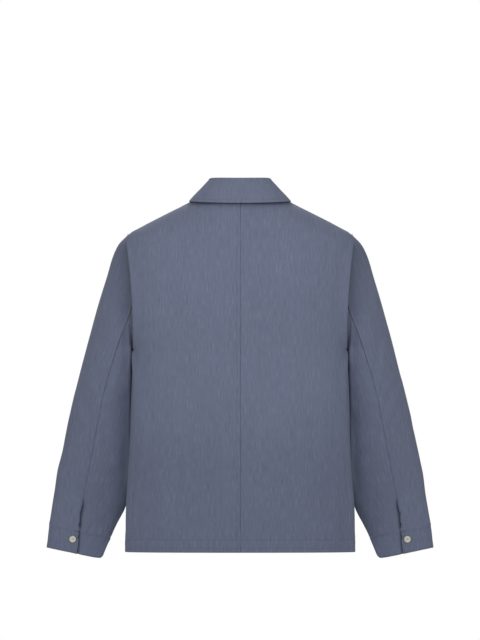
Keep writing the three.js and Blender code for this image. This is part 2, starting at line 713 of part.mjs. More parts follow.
function buildSlider() {
  const place = zipPlace(SLIDER_Z);
  addMesh('zip_slider', sliderGeometry(), metalMaterial(), place);
  const pull = addMesh('zip_pull', pullGeometry(), metalMaterial(), place);
  const face = CHAIN_THICKNESS / 2 + SEAM_GAP + PLATE.thickness;
  const room = BRIDGE.rise - BRIDGE.bar;
  pull.position.set(0, -(face + room / 2), BRIDGE.low + BRIDGE.bar + 2 * SEAM_GAP + PULL.rod);
}

function buildStops() {
  const place = zipPlace(STOP.z);
  for (const [name, side] of [['zip_stop_left', 1], ['zip_stop_right', -1]]) {
    const stop = addMesh(name, box(STOP.width, CHAIN_THICKNESS, STOP.length), metalMaterial(), place);
    stop.position.x = side * (CHAIN_HALF - STOP.width / 2);
  }
}

// The retaining box: two plates round the tapes' ends, joined between them.
function buildBox() {
  const near = CHAIN_THICKNESS / 2 + SEAM_GAP;
  const plate = box(2 * BOX.half, PLATE.thickness, BOX.length);
  const front = solid(plate, [0, -near, 0]);
  const back = solid(plate, [0, near, 0]);
  const core = solid(box(2 * CHAIN_HALF, 2 * near, BOX.length));
  addMesh('zip_box', geometryOf(front.add(core).add(back)), metalMaterial(), zipPlace(BOX.z));
}

buildCloth();
buildPlackets();
buildButtons();
buildZip();
buildSlider();
buildStops();
buildBox();

export default jacket;
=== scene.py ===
import math
import bmesh
import bpy
import numpy as np
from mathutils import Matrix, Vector


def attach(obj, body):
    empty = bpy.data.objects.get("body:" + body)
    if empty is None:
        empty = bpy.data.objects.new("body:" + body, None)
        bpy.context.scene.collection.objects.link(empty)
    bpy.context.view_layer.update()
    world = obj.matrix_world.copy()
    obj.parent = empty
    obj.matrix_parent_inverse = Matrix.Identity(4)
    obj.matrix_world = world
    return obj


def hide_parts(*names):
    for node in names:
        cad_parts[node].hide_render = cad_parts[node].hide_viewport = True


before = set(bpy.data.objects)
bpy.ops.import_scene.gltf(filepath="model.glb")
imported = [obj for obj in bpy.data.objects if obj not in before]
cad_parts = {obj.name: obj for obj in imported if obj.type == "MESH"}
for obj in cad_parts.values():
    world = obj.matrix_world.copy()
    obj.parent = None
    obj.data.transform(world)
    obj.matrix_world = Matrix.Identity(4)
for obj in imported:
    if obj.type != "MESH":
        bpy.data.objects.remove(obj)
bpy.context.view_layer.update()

# ---------------------------------------------------------------- back panels
# Two lengths of slubby blue chambray, joined down the centre back, where the turnings are pressed to
# the wearer's left and topstitched. They hang hollow from the neck and shoulders to a turned-up hem,
# which has a row of stitching at its top and one near its fold. Lengths are in millimetres.
MM = 0.001
HEM_Z, HEM_HIGH, SHOULDER_Z, UNDERARM_Z = -694.0, 24.0, -80.0, -300.0
HEM_ROW, FOLD_ROW = -HEM_Z - HEM_HIGH, -HEM_Z - 8
UNDERARM_X, SHOULDER_X, FRONT_EDGE_X = 208.6, 223.0, 5.5
NECK_HALF, NECK_DROP, NECK_CURVE = 77.0, 70.0, 1.6
BOW_BEHIND, BOW_BEFORE, HOLE_BEHIND, HOLE_BEFORE = 4.5, 14.0, 60.0, 58.0
CLOTH, HEM_CLOTH = 1.5, 2.6

# Level, half width, depth behind and before, squareness behind and before, angle of the side seam
TORSO = np.array([
    [-694, 224.3, 119, 126, 2.50, 2.40, 110],
    [-601, 222.3, 117, 127, 2.60, 2.35, 110],
    [-540, 217.9, 115, 128, 2.70, 2.25, 110],
    [-480, 214.7, 113, 129, 2.80, 2.15, 110],
    [-400, 212.7, 112, 131, 2.80, 2.10, 107],
    [-350, 210.8, 113, 133, 2.80, 2.10, 99],
    [-300, 208.6, 115, 134, 2.70, 2.20, 90],
    [-260, 208.6, 118, 133, 2.60, 2.30, 90],
    [-210, 211.0, 120, 128, 2.50, 2.35, 90],
    [-160, 214.0, 118, 116, 2.50, 2.35, 90],
    [-120, 218.0, 110, 101, 2.50, 2.30, 90],
    [-80, 223.0, 97, 82, 2.40, 2.25, 90],
    [-59, 190.0, 89, 75, 2.30, 2.20, 90],
    [-35, 143.5, 79, 69, 2.20, 2.15, 90],
    [-17, 108.0, 70, 64, 2.15, 2.10, 90],
    [0, 77.0, 62, 58, 2.10, 2.10, 90],
])


def smooth_through(table, column):
    """A smooth curve of one column over the first column, which rises."""
    keys, values = table[:, 0], table[:, column]
    last = len(keys) - 1
    ahead = np.minimum(np.arange(last + 1) + 1, last)
    behind = np.maximum(np.arange(last + 1) - 1, 0)
    slopes = (values[ahead] - values[behind]) / (keys[ahead] - keys[behind])

    def at(x):
        x = np.clip(x, keys[0], keys[-1])
        i = np.clip(np.searchsorted(keys, x, side="right") - 1, 0, last - 1)
        span = keys[i + 1] - keys[i]
        t = (x - keys[i]) / span
        rise = (2 * t**3 - 3 * t**2 + 1) * values[i] + (3 * t**2 - 2 * t**3) * values[i + 1]
        return rise + span * ((t**3 - 2 * t**2 + t) * slopes[i] + (t**3 - t**2) * slopes[i + 1])
    return at


half_width, depth_behind, depth_before, square_behind, square_before, seam_degrees = [
    smooth_through(TORSO, column) for column in range(1, 7)]


def body_half(z, behind):
    """Half width, depth, squareness and the angle of the armhole's edge, in the back or front."""
    depth = np.where(behind, depth_behind(z), depth_before(z))
    square = np.where(behind, square_behind(z), square_before(z))
    share = np.clip((z - UNDERARM_Z) / (SHOULDER_Z - UNDERARM_Z), 0, 1)
    bow = np.where(behind, BOW_BEHIND, BOW_BEFORE)
    edge_x = UNDERARM_X + (SHOULDER_X - UNDERARM_X) * share - 4 * share * (1 - share) * bow
    edge_y = 2 * np.sqrt(share * (1 - share)) * np.where(behind, HOLE_BEHIND, HOLE_BEFORE)
    at_hole = (share > 0) & (share < 1)
    half = np.where(at_hole, edge_x / (1 - (edge_y / depth) ** square) ** (1 / square), half_width(z))
    edge = np.where(at_hole, np.arcsin(np.clip(edge_x / half, 0, 1) ** (square / 2)), np.pi / 2)
    return half, depth, square, edge, at_hole


def body_point(z, angle):
    """A point of the body: the angle is 0 at the centre front and 180 degrees at the centre back."""
    behind = angle > np.pi / 2
    half, depth, square, _, _ = body_half(z, behind)
    x = half * np.abs(np.sin(angle)) ** (2 / square)
    y = depth * np.abs(np.cos(angle)) ** (2 / square)
    return np.stack([x, np.where(behind, y, -y), z + 0 * angle], axis=-1)


def neckline(share):
    """The front neckline's distance from the middle and height, from the shoulder (0) to the zip (1)."""
    turn = (np.pi / 2) * share**NECK_CURVE
    return FRONT_EDGE_X + (NECK_HALF - FRONT_EDGE_X) * np.cos(turn), -NECK_DROP * np.sin(turn)


def body_levels():
    """The heights of the rows, closest at the sewing, and how far in the neckline lies at each."""
    neck_x, neck_z = neckline(np.linspace(0, 1, 22))
    armhole = UNDERARM_Z + (SHOULDER_Z - UNDERARM_Z) * (1 + np.cos(np.linspace(0, np.pi, 58))) / 2
    hem = np.array([4, 2, 0.8, 0, -0.8, -2, -4, -8, -12, -15, -16, -17, -19, -21, -22.6, -23.6, -24])
    skirt = np.linspace(UNDERARM_Z, 6 - HEM_ROW, 84)[1:]
    levels = np.concatenate([neck_z, armhole, skirt, hem - HEM_ROW])
    return levels, np.concatenate([neck_x, np.full(len(levels) - len(neck_x), FRONT_EDGE_X)])


def lines_across(count, width, near=(0.0, 0.35, 1.1, 2.2, 3.8, 6.0)):
    """Shares of a row's length, closer together beside its two edges."""
    edge = np.array(near) / width
    return np.concatenate([edge, np.linspace(edge[-1], 1 - edge[-1], count)[1:-1], 1 - edge[::-1]])


def run_along(points, axis=0):
    """The length of cloth from the first point of each column (axis 0) or row (axis 1)."""
    run = np.cumsum(np.linalg.norm(np.diff(points, axis=axis), axis=-1), axis=axis)
    return np.concatenate([0 * np.take(run, [0], axis), run], axis=axis)


def spread(curve, shares):
    """The points at the given shares of each row's length, and the lengths."""
    run = run_along(curve, 1)
    points = np.empty((len(curve), len(shares), 3))
    for r in range(len(curve)):
        for k in range(3):
            points[r, :, k] = np.interp(shares * run[r, -1], run[r], curve[r, :, k])
    return points, run[:, -1]


def facing(points):
    """Unit normals of a grid of points; every grid runs so that they point out of the jacket."""
    normals = np.cross(np.gradient(points, axis=1), np.gradient(points, axis=0))
    size = np.linalg.norm(normals, axis=2, keepdims=True)
    normals = normals / np.maximum(size, 1e-9)
    for r in range(len(normals) - 2, -1, -1):
        weak = size[r, :, 0] < 1e-6
        normals[r, weak] = normals[r + 1, weak]
    turned = np.sum(normals[0] * normals[1], axis=1) < 0
    normals[0, turned] = normals[1, turned]
    return normals


# Turnings under the next piece's edge: reach over that piece, depth beneath it, length of cloth
TURNINGS = np.array([(7, 2.7, 9.5), (3.5, 2.5, 6.0), (0.6, 2.3, 2.7)])


class Panel:
    """One cut piece of cloth: its outer face, its normals, and its thread lines in millimetres."""

    def __init__(self, points, across, down):
        self.points, self.across, self.down, self.flat = points, across, down, None
        self.normals = facing(points)

    def lift(self, height):
        """Raises the cloth straight off its face."""
        self.points = self.points + self.normals * np.asarray(height)[..., None]
        self.normals = facing(self.points)

    def shift_back(self, height):
        """Moves the cloth straight back."""
        self.points = self.points + np.asarray(height)[..., None] * [0, 1, 0]
        self.normals = facing(self.points)

    def tuck_under(self, edge, normals, inward):
        """Adds turnings before the first row, which lie beneath the edge of the piece it is sewn to."""
        self.cut_out()
        near = np.linalg.norm(self.points[0][:, None] - edge, axis=2).argmin(axis=1)
        edge, out, inward = edge[near], normals[near], inward[near]
        rows = [edge - out * depth + inward * reach for reach, depth, _ in TURNINGS]
        self.points = np.concatenate([np.array(rows), self.points])
        self.normals = np.concatenate([np.repeat(out[None], 3, axis=0), self.normals])
        self.across = np.concatenate([np.repeat(self.across[:1], 3, axis=0), self.across])
        self.down = np.concatenate([self.down[0] - TURNINGS[:, 2:], self.down])

    def cut_out(self):
        """Notes the size of the flat cloth it is cut from, in metres: width and length, and area."""
        widths, lengths = run_along(self.points, 1)[:, -1], run_along(self.points)
        middle = lengths.mean(axis=1)
        self.flat = round(float(widths.max() * MM), 3), round(float(lengths[-1].max() * MM), 3)
        self.area = round(float(np.sum((widths[1:] + widths[:-1]) / 2 * np.diff(middle)) * MM * MM), 4)

    def mirror(self):
        """Makes the left piece the right one."""
        self.points = self.points * [-1, 1, 1]
        self.normals = self.normals * [-1, 1, 1]


def from_edges(panel):
    """How far each point is from the first and last columns, and from the first and last rows."""
    run, fall = run_along(panel.points, 1), run_along(panel.points)
    return run, run[:, -1:] - run, fall, fall[-1:] - fall


def bell(off, reach):
    """1 in the middle, fading away on both sides over the reach."""
    return np.exp(-((off / reach) ** 2))


def ends_at(off, reach):
    """1 well before the place where off is 0, and 0 well past it."""
    return (1 - np.tanh(off / (2 * reach))) / 2


def ramp(value, start, length):
    """0 up to the start, rising evenly to 1 over the length; a negative length starts at 1."""
    return np.clip((value - start) / length, 0, 1)


def groove(off, depth, width):
    """The line that a seam or a row of stitches draws in."""
    return -depth * bell(off, width)


def creases(across, down, table):
    """Soft creases: a trough with a lower ridge beside it, fading to nothing at both ends.
    Columns: middle across and down, length, lean from the warp, bend, depth, width."""
    height = np.zeros_like(across)
    for mid_a, mid_d, length, lean, bend, depth, width in table:
        c, s = math.cos(math.radians(lean)), math.sin(math.radians(lean))
        a, d = across - mid_a, down - mid_d
        along = (d * c + a * s) / (length / 2)
        off = (a * c - d * s - bend * (1 - along**2)) / width
        height += depth * np.clip(1 - along**2, 0, None) ** 2 * (0.55 * bell(off - 1.6, 1.3) - bell(off, 1))
    return height


def soft(across, down, seed, depth, scale=1.0):
    """The slight unevenness that hanging cloth has everywhere."""
    rng = np.random.default_rng(seed)
    height = np.zeros_like(across)
    for wide, tall, share in ((95, 310, 0.5), (61, 190, 0.35), (150, 120, 0.3), (38, 260, 0.2)):
        height += share * np.sin(2 * np.pi * across / (wide * scale) + rng.uniform(0, 6.28)) \
            * np.cos(2 * np.pi * down / (tall * scale) + rng.uniform(0, 6.28))
    return depth * height


def puckers(along, off, seed, depth, reach, pitch):
    """Small uneven waves that a row of stitches draws up, fading away from it."""
    rng = np.random.default_rng(seed)
    wave = np.zeros_like(along)
    for stretch, share in ((1, 0.5), (1.43, 0.35), (0.61, 0.3), (3.1, 0.35)):
        wave += share * np.sin(2 * np.pi * along / (pitch * stretch) + rng.uniform(0, 6.28))
    return depth * wave * bell(off, reach)


def calm(reach, *offs):
    """0 at the sewn edges, where the pieces have to meet, and 1 beyond their reach."""
    return np.prod([1 - bell(off, reach) for off in offs], axis=0)


def armhole_ends(down, off):
    """0 where the body turns sharply at the top and foot of the armhole, and 1 elsewhere."""
    ends = bell(down + SHOULDER_Z, 5) + bell(down + UNDERARM_Z, 3)
    return 1 - 0.97 * ends * np.exp(-((off / 55) ** 4))


def beside_armhole(down, reach):
    """1 along the armhole, fading in below the shoulder point and out above the underarm."""
    return ramp(down + SHOULDER_Z, 3, reach) * ends_at(down + UNDERARM_Z + 8, 4)


def turned_over(off, reach):
    """1 over the seam's turnings, which lie up to their reach from it, and 0 beyond."""
    return ends_at(off - reach, 0.35)


def hem_relief(panel, seed):
    """The turned-up hem: a double thickness below its stitching, which draws up small puckers."""
    above = HEM_ROW - panel.down
    height = 0.45 * ends_at(above, 0.8) + groove(above, 0.55, 1.3)
    height += puckers(panel.across, above - 3, seed, 0.55, 11, 17)
    return height + groove(FOLD_ROW - panel.down, 0.2, 1.0)


def side_relief(panel, off, lip):
    """The armhole's edge stands over the sleeve, and the side seam below it is drawn in."""
    hole = ends_at(panel.down + UNDERARM_Z, 5) * ends_at(-(panel.down + SHOULDER_Z), 3)
    height = lip * bell(off, 7) * hole * ramp(panel.down + SHOULDER_Z, 6, 40)
    return height + groove(off, 0.7, 2.4) * (1 - hole)


def hemmed(panel):
    """The cloth's thickness, doubled below the hem's stitching."""
    return CLOTH + (HEM_CLOTH - CLOTH) * ends_at(HEM_ROW - panel.down, 0.8)


def linear(red, green, blue):
    """A colour given in screen values, 0 to 255, as the shader's linear values."""
    return tuple((v / 255 / 12.92) if v <= 10 else ((v / 255 + 0.055) / 1.055) ** 2.4
                 for v in (red, green, blue)) + (1.0,)


def set_input(tree, socket, value):
    """Sets a socket to a plain value, or links another node to it."""
    if isinstance(value, bpy.types.NodeSocket):
        tree.links.new(value, socket)
    else:
        socket.default_value = value


def add_node(tree, kind, inputs, **settings):
    """A node with its settings, and its inputs set or linked."""
    node = tree.nodes.new(kind)
    for name, value in settings.items():
        setattr(node, name, value)
    for name, value in inputs.items():
        set_input(tree, node.inputs[name], value)
    return node


def number(tree, operation, first, second=0.0):
    """One step of arithmetic."""
    return add_node(tree, "ShaderNodeMath", {0: first, 1: second}, operation=operation).outputs[0]


def times(tree, first, second):
    return number(tree, "MULTIPLY", first, second)


def plus(tree, total, *values):
    for value in values:
        total = number(tree, "ADD", total, value)
    return total


def between(tree, value, low, high, to_low=0.0, to_high=1.0):
    """A value carried over from one range to another."""
    return add_node(tree, "ShaderNodeMapRange", {
        "Value": value, "From Min": low, "From Max": high, "To Min": to_low, "To Max": to_high,
    }).outputs["Result"]


def mixed(tree, share, first, second, blend="MIX"):
    """Two colours mixed by a share."""
    return add_node(tree, "ShaderNodeMix", {0: share, 6: first, 7: second},
                    data_type="RGBA", blend_type=blend).outputs[2]


def shaded(tree, colour, shade):
    """A colour made lighter or darker by a shade, which is 1 where it stays."""
    grey = add_node(tree, "ShaderNodeCombineXYZ", {0: shade, 1: shade, 2: shade})
    return mixed(tree, 1.0, colour, grey.outputs[0], "MULTIPLY")


def threads(tree, along, scale, detail=2.0, shift=0.0):
    """Noise drawn out along the warp or the weft."""
    mapped = add_node(tree, "ShaderNodeMapping", {
        "Vector": along, "Location": (shift, 2 * shift, 0), "Scale": (scale[0], scale[1], 1)})
    return add_node(tree, "ShaderNodeTexNoise", {
        "Vector": mapped.outputs[0], "Scale": 1.0, "Detail": detail, "Roughness": 0.55},
        noise_dimensions="2D").outputs["Fac"]


def weave_group():
    """Chambray: a dyed warp with thick slubs and a pale weft, worn pale at its edges, darkened by painted
    shade and lightened by painted light that the mesh carries.
    """
    pale_slubs, dark_slubs, painted_shade_strength, warp_pitch, weft_pitch = 0.32, 0.38, 0.55, 0.00085, 0.00095
    tree = bpy.data.node_groups.new("slubby chambray", "ShaderNodeTree")
    for names, kind, way in ((("Edge", "Painted Shading"), "Float", "INPUT"), (("Thread",), "Vector", "INPUT"),
                             (("Warp", "Pale", "Deep"), "Color", "INPUT"), (("Colour",), "Color", "OUTPUT"),
                             (("Rough", "Height"), "Float", "OUTPUT")):
        for name in names:
            tree.interface.new_socket(name, in_out=way, socket_type="NodeSocket" + kind)
    given = tree.nodes.new("NodeGroupInput").outputs
    line = given["Thread"]
    # Scale across and along the warp, detail and place of each kind of thread
    broad, slub, fine, weft, cloud = [threads(tree, line, scale, detail, shift) for scale, detail, shift in (
        ((170, 9), 3.0, 3.1), ((820, 44), 3.0, 7.7), ((1900, 110), 2.0, 1.3),
        ((22, 900), 2.0, 5.9), ((7, 5), 3.0, 9.2))]
    base = mixed(tree, times(tree, between(tree, slub, 0.54, 0.80), pale_slubs), given["Warp"], given["Pale"])
    base = mixed(tree, times(tree, between(tree, slub, 0.46, 0.22), dark_slubs), base, given["Deep"])
    place = add_node(tree, "ShaderNodeSeparateXYZ", {0: line}).outputs
    over = times(tree, *[number(tree, "SINE", times(tree, place[k], 2 * math.pi / pitch))
                         for k, pitch in ((0, warp_pitch), (1, weft_pitch))])
    base = mixed(tree, between(tree, over, -1, 1, 0.0, 0.16), base, given["Pale"])
    shade = plus(tree, *[between(tree, noise, 0.25, 0.75, -depth, depth) for noise, depth in (
        (broad, 0.035), (cloud, 0.03), (fine, 0.05), (weft, 0.02))])
    # Painted shade and painted light: the mesh's painted shading darkens the colour, and lightens it where it
    # is negative
    shade = number(tree, "SUBTRACT", shade, times(tree, given["Painted Shading"], painted_shade_strength))
    shade = plus(tree, shade, between(tree, given["Edge"], 0.0, 2.2, 0.07, 0.0), 1.0)
    height = plus(tree, times(tree, over, 0.25), times(tree, slub, 0.9), times(tree, fine, 0.35))
    add_node(tree, "NodeGroupOutput", {"Colour": shaded(tree, base, shade), "Height": height,
                                       "Rough": between(tree, fine, 0.2, 0.8, 0.82, 0.96)})
    return tree


slubby = weave_group()


def new_material(name):
    """A material of that name and its node tree."""
    material = bpy.data.materials.new(name)
    material.use_nodes = True
    return material, material.node_tree


def finish(tree, colour, rough, height, relief, strength=1.0, **plain):
    """Joins colour, roughness and relief to the shader, and sets the values that are even all over."""
    bump = add_node(tree, "ShaderNodeBump", {"Height": height, "Distance": relief, "Strength": strength})
    inputs = tree.nodes["Principled BSDF"].inputs
    for name, value in (("Base Color", colour), ("Roughness", rough), ("Normal", bump.outputs[0])):
        tree.links.new(value, inputs[name])
    for name, value in plain.items():
        inputs[name.replace("_", " ")].default_value = value


def attribute(tree, name):
    """A value that the mesh carries under that name."""
    return add_node(tree, "ShaderNodeAttribute", {}, attribute_name=name).outputs["Fac"]


def chambray(name, *warp):
    """Matt woven cloth with a soft bloom, its threads following the piece's own thread lines."""
    material, tree = new_material(name)
    weave = add_node(tree, "ShaderNodeGroup", {}, node_tree=slubby)
    lines = add_node(tree, "ShaderNodeUVMap", {}, uv_map="thread").outputs[0]
    # The mesh carries the distance to its edges and its painted light and shade
    for key, value in (("Thread", lines), ("Edge", attribute(tree, "edge")), ("Warp", linear(*warp)),
                       ("Painted Shading", attribute(tree, "painted_shading")), ("Pale", linear(150, 156, 168)),
                       ("Deep", linear(66, 74, 98))):
        set_input(tree, weave.inputs[key], value)
    finish(tree, weave.outputs["Colour"], weave.outputs["Rough"], weave.outputs["Height"], 0.00022, 0.6,
           Specular_IOR_Level=0.22, Sheen_Weight=0.06, Sheen_Roughness=0.5)
    return material


body_cloth = chambray("body chambray", 99, 107, 131)


def jacket_piece(name, points, faces, material):
    """A mesh from points in millimetres, as a piece that rides on the jacket."""
    mesh = bpy.data.meshes.new(name)
    mesh.from_pydata((points * MM).tolist(), [], faces)
    mesh.materials.append(material)
    piece = bpy.data.objects.new(name, mesh)
    bpy.context.scene.collection.objects.link(piece)
    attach(piece, "jacket")
    return piece


def sewn(node, panel, thickness, material, ending="_cloth",
         open_sides=(1, 1, 1, 1), shift=(0.0, 0.0), painted_shading=None):
    """Closes a panel into a thin shell with rolled edges, and makes it a piece of the jacket.
    Open sides (first column, last column, first row, last row) roll in; others do so less."""
    if panel.flat is None:
        panel.cut_out()
    if node.endswith("right"):
        panel.mirror()
    points, normals = panel.points, panel.normals
    rows, columns = points.shape[:2]
    thick = np.broadcast_to(np.asarray(thickness, float), (rows, columns))
    radius = thick / 2
    turned = np.zeros((rows, columns))
    sides = from_edges(panel)
    for off, openness in zip(sides, open_sides):
        arc = 1 - np.sqrt(1 - np.clip(1 - off / radius, 0, 1) ** 2)
        turned = np.maximum(turned, 0.92 * radius * arc * openness)
    faces_of_cloth = [points - normals * inward[..., None] for inward in (turned, thick - turned)]
    at = np.arange(rows * columns).reshape(rows, columns)
    a, b, c, d = at[:-1, :-1], at[1:, :-1], at[1:, 1:], at[:-1, 1:]
    front, back = [np.stack(quad, axis=-1).reshape(-1, 4) for quad in ([a, d, c, b], [a, b, c, d])]
    border = np.concatenate([at[0, :], at[1:, -1], at[-1, -2::-1], at[-2:0:-1, 0]])
    ahead = np.roll(border, -1)
    rim = np.stack([border, border + rows * columns, ahead + rows * columns, ahead], axis=-1)
    faces = np.concatenate([front, back + rows * columns, rim])
    corner = faces_of_cloth[0].reshape(-1, 3)[front[len(front) // 2, :3]]
    out = normals.reshape(-1, 3)[front[len(front) // 2, 0]]
    if np.cross(corner[1] - corner[0], corner[2] - corner[1]) @ out < 0:
        faces = faces[:, ::-1]
    piece = jacket_piece(node + ending, np.concatenate(faces_of_cloth).reshape(-1, 3), faces.tolist(),
                         material)
    mesh = piece.data
    lines = np.stack([panel.across * MM + shift[0], -panel.down * MM + shift[1]], axis=-1).reshape(-1, 2)
    corner = np.empty(len(mesh.loops), dtype=np.int32)
    mesh.loops.foreach_get("vertex_index", corner)
    mesh.uv_layers.new(name="thread").data.foreach_set("uv", np.tile(lines, (2, 1))[corner].ravel())
    # The distance to the edges, and the painted light and shade, go onto the mesh for its material
    for name, value in (("edge", np.minimum.reduce(sides)), ("painted_shading", painted_shading)):
        if value is not None:
            mark = mesh.attributes.new(name, "FLOAT", "POINT")
            mark.data.foreach_set("value", np.tile(value.ravel(), 2))
    shell = bmesh.new()
    shell.from_mesh(mesh)
    bmesh.ops.remove_doubles(shell, verts=shell.verts, dist=2e-6)
    bmesh.ops.dissolve_degenerate(shell, edges=shell.edges, dist=1e-6)
    shell.to_mesh(mesh)
    shell.free()
    mesh.shade_smooth()
    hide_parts(node)


def body_grid(behind, shares):
    """Half the back from its middle to the side, or a front from the side to its edge at the zip."""
    turn = np.linspace(0, 1, 600)
    levels, inner_x = body_levels()
    curve = []
    for z, edge_x in zip(levels, inner_x):
        half, _, square, edge, at_hole = body_half(z, np.bool_(behind))
        side = edge if at_hole else math.radians(float(seam_degrees(z)))
        if behind:
            start, end = np.pi, np.pi - edge if at_hole else side
        else:
            start, end = side, np.arcsin(min(edge_x / half, 1) ** (square / 2))
        curve.append(body_point(np.float64(z), start + (end - start) * turn))
    points, length = spread(np.array(curve), shares)
    across = (shares if behind else 1 - shares)[None, :] * length[:, None]
    return Panel(points, across, np.repeat(-levels[:, None], len(shares), axis=1))


# Middle across and down, length, lean, bend, depth, width: the soft folds each back hangs in
BACK_CREASES = {
    "left": [
        (178, 520, 330, 4, 6, 1.5, 15), (132, 600, 180, -5, -4, 0.9, 12), (190, 330, 190, 12, 8, 1.3, 12),
        (150, 190, 200, 24, 10, 0.9, 14), (70, 455, 260, -3, 5, 0.5, 17), (206, 610, 130, 3, 3, 1.3, 9),
        (120, 95, 120, 52, 6, 0.7, 12), (228, 430, 240, -2, 6, 1.4, 13), (92, 640, 90, 8, 3, 0.6, 10)],
    "right": [
        (184, 560, 270, -4, -5, 1.4, 14), (140, 430, 240, 7, 6, 0.7, 15), (196, 350, 150, 16, 7, 1.4, 11),
        (158, 210, 230, 20, -8, 0.8, 15), (60, 560, 210, 4, -4, 0.5, 15), (214, 640, 100, -5, 3, 1.2, 8),
        (112, 110, 140, 47, 5, 0.7, 13), (232, 470, 280, 3, -6, 1.5, 14), (104, 650, 80, -7, 4, 0.6, 9)],
}
ARMHOLE_STEP, ARM_BULGE, COLLAR_FURROW, BACK_TURNINGS, BACK_ROW = 3.6, 3.3, 1.6, 7.4, 6.0
POCKET_ROWS, POCKET_TOP, POCKET_FOOT = (2.5, 9.0), 470, 586
SIDES = (0, "left"), (1, "right")
back_shares = lines_across(84, 300, (0.0, 0.35, 1.1, 2.2, 3.8, 5.4, 6.0, 6.6, 8.2))
back_panels = {}
for right, side in SIDES:
    panel = body_grid(True, back_shares)
    first, last, _, _ = from_edges(panel)
    height = soft(panel.across, panel.down, 11 + right, 0.7)
    height = (height + creases(panel.across, panel.down, BACK_CREASES[side])) * calm(14, first, last)
    height += hem_relief(panel, 21 + right) + side_relief(panel, last, 0.2)
    height += ARM_BULGE * bell(last - 17, 14) * bell(panel.down - 328, 44)
    height += groove(panel.down - 18.5, COLLAR_FURROW, 3.2)
    if not right:
        height += 0.5 * turned_over(first, BACK_TURNINGS) + groove(first - BACK_ROW, 0.5, 0.9)
        height += groove(first, 0.25, 0.8) + puckers(panel.down, first - 3, 31, 0.16, 8, 21)
    else:
        height += groove(first, 0.9, 1.3) + puckers(panel.down, first, 32, 0.12, 8, 24)
    panel.lift(height * armhole_ends(panel.down, last))
    panel.shift_back(ARMHOLE_STEP * bell(last, 17) * beside_armhole(panel.down, 40))
    panel.cut_out()
    # Painted shadow line just under the collar's edge and painted shade darker towards the hem; painted light
    # paler at the sides, most by the underarm
    out = panel.points[..., 0]
    under_fall = -14.6 + 3 * (out / 97) ** 2 - panel.points[..., 2]
    painted_shading = ramp(out, 104, -6) * (bell(under_fall - 1.2, 2.6) + 0.3 * bell(under_fall - 2, 8))
    painted_shading += 0.2 * ramp(panel.down, 380, 150)
    painted_shading -= (0.16 + 0.18 * bell(panel.down - 320, 60)) * bell(last, 20)
    if right:
        panel.points[:, 0] -= [1.2, 1.1, 0]
    back_panels[side] = panel
    sewn(f"back_{side}", panel, hemmed(panel), body_cloth, painted_shading=painted_shading,
         open_sides=(0.3, 1, 1, 1), shift=(1.7 * right, 0.6 * right))

# One stitch of sewing thread, made once and laid along every row of sewing
bpy.ops.object.select_all(action="DESELECT")
bpy.ops.mesh.primitive_ico_sphere_add(subdivisions=1, radius=1)
stitch_model = bpy.context.object
STITCH_POINTS = np.array([vertex.co for vertex in stitch_model.data.vertices])
STITCH_FACES = np.array([polygon.vertices for polygon in stitch_model.data.polygons])
bpy.data.objects.remove(stitch_model)


def thread_material(name, *colour):
    """Twisted polyester thread: a slight gloss and a fine diagonal twist."""
    material, tree = new_material(name)
    place = add_node(tree, "ShaderNodeTexCoord", {}).outputs["Object"]
    twist = add_node(tree, "ShaderNodeTexWave", {"Vector": place, "Scale": 900.0, "Distortion": 0.6},
                     bands_direction="DIAGONAL").outputs["Fac"]
    finish(tree, shaded(tree, linear(*colour), between(tree, twist, 0, 1, 0.82, 1.1)),
           between(tree, twist, 0, 1, 0.62, 0.5), twist, 0.0001)
    return material


blue_thread = thread_material("blue thread", 82, 90, 113)


def trace(panel, off, value, keep=None, down=True):
    """The line on a panel where a measure reaches a value: down the piece, or across it."""
    points, normals = panel.points, panel.normals
    if not down:
        points, normals, off = points.transpose(1, 0, 2), normals.transpose(1, 0, 2), off.T
        keep = None if keep is None else keep.T
    line = []
    for r in range(len(points)):
        if keep is not None and not keep[r].all():
            continue
        order = np.argsort(off[r])
        if off[r][order[0]] <= value <= off[r][order[-1]]:
            both = np.concatenate([points[r], normals[r]], axis=1)[order]
            line.append([np.interp(value, off[r][order], both[:, k]) for k in range(6)])
    line = np.array(line)
    return line[:, :3], line[:, 3:]


def stitched(name, lines, material=blue_thread, pitch=2.9, length=2.2, radius=0.27):
    """Rows of thread stitches, each lying half sunk in its cloth."""
    shapes = []
    for points, normals in lines:
        run = run_along(points)
        count = int(run[-1] / pitch)
        if count < 1:
            continue
        at = (np.arange(count) + 0.5) * run[-1] / count
        place, ahead, behind, out = [
            np.stack([np.interp(where, run, grid[:, k]) for k in range(3)], axis=1)
            for where, grid in ((at, points), (at + 0.6, points), (at - 0.6, points), (at, normals))]
        along = ahead - behind
        along /= np.linalg.norm(along, axis=1, keepdims=True)
        wide = np.cross(out, along)
        wide /= np.linalg.norm(wide, axis=1, keepdims=True)
        out = np.cross(along, wide)
        shapes.append(along[:, None] * STITCH_POINTS[None, :, :1] * length / 2
                      + wide[:, None] * STITCH_POINTS[None, :, 1:2] * radius
                      + out[:, None] * (STITCH_POINTS[None, :, 2:] * radius + 0.08) + place[:, None])
    shapes = np.concatenate(shapes)
    faces = STITCH_FACES + (np.arange(len(shapes)) * len(STITCH_POINTS))[:, None, None]
    piece = jacket_piece(name, shapes.reshape(-1, 3), faces.reshape(-1, 3).tolist(), material)
    piece.data.shade_smooth()


def hem_rows(panel):
    """The two rows of stitches along the hem."""
    return [trace(panel, panel.down, row, down=False) for row in (HEM_ROW, FOLD_ROW)]


for side, panel in back_panels.items():
    first, last, _, _ = from_edges(panel)
    lines = hem_rows(panel)
    if side == "left":
        lines.append(trace(panel, first, BACK_ROW, panel.down > 12))
    beside_pocket = (panel.down > POCKET_TOP) & (panel.down < POCKET_FOOT)
    lines += [trace(panel, last, off, beside_pocket) for off in POCKET_ROWS]
    stitched(f"back_{side}_stitches", lines)

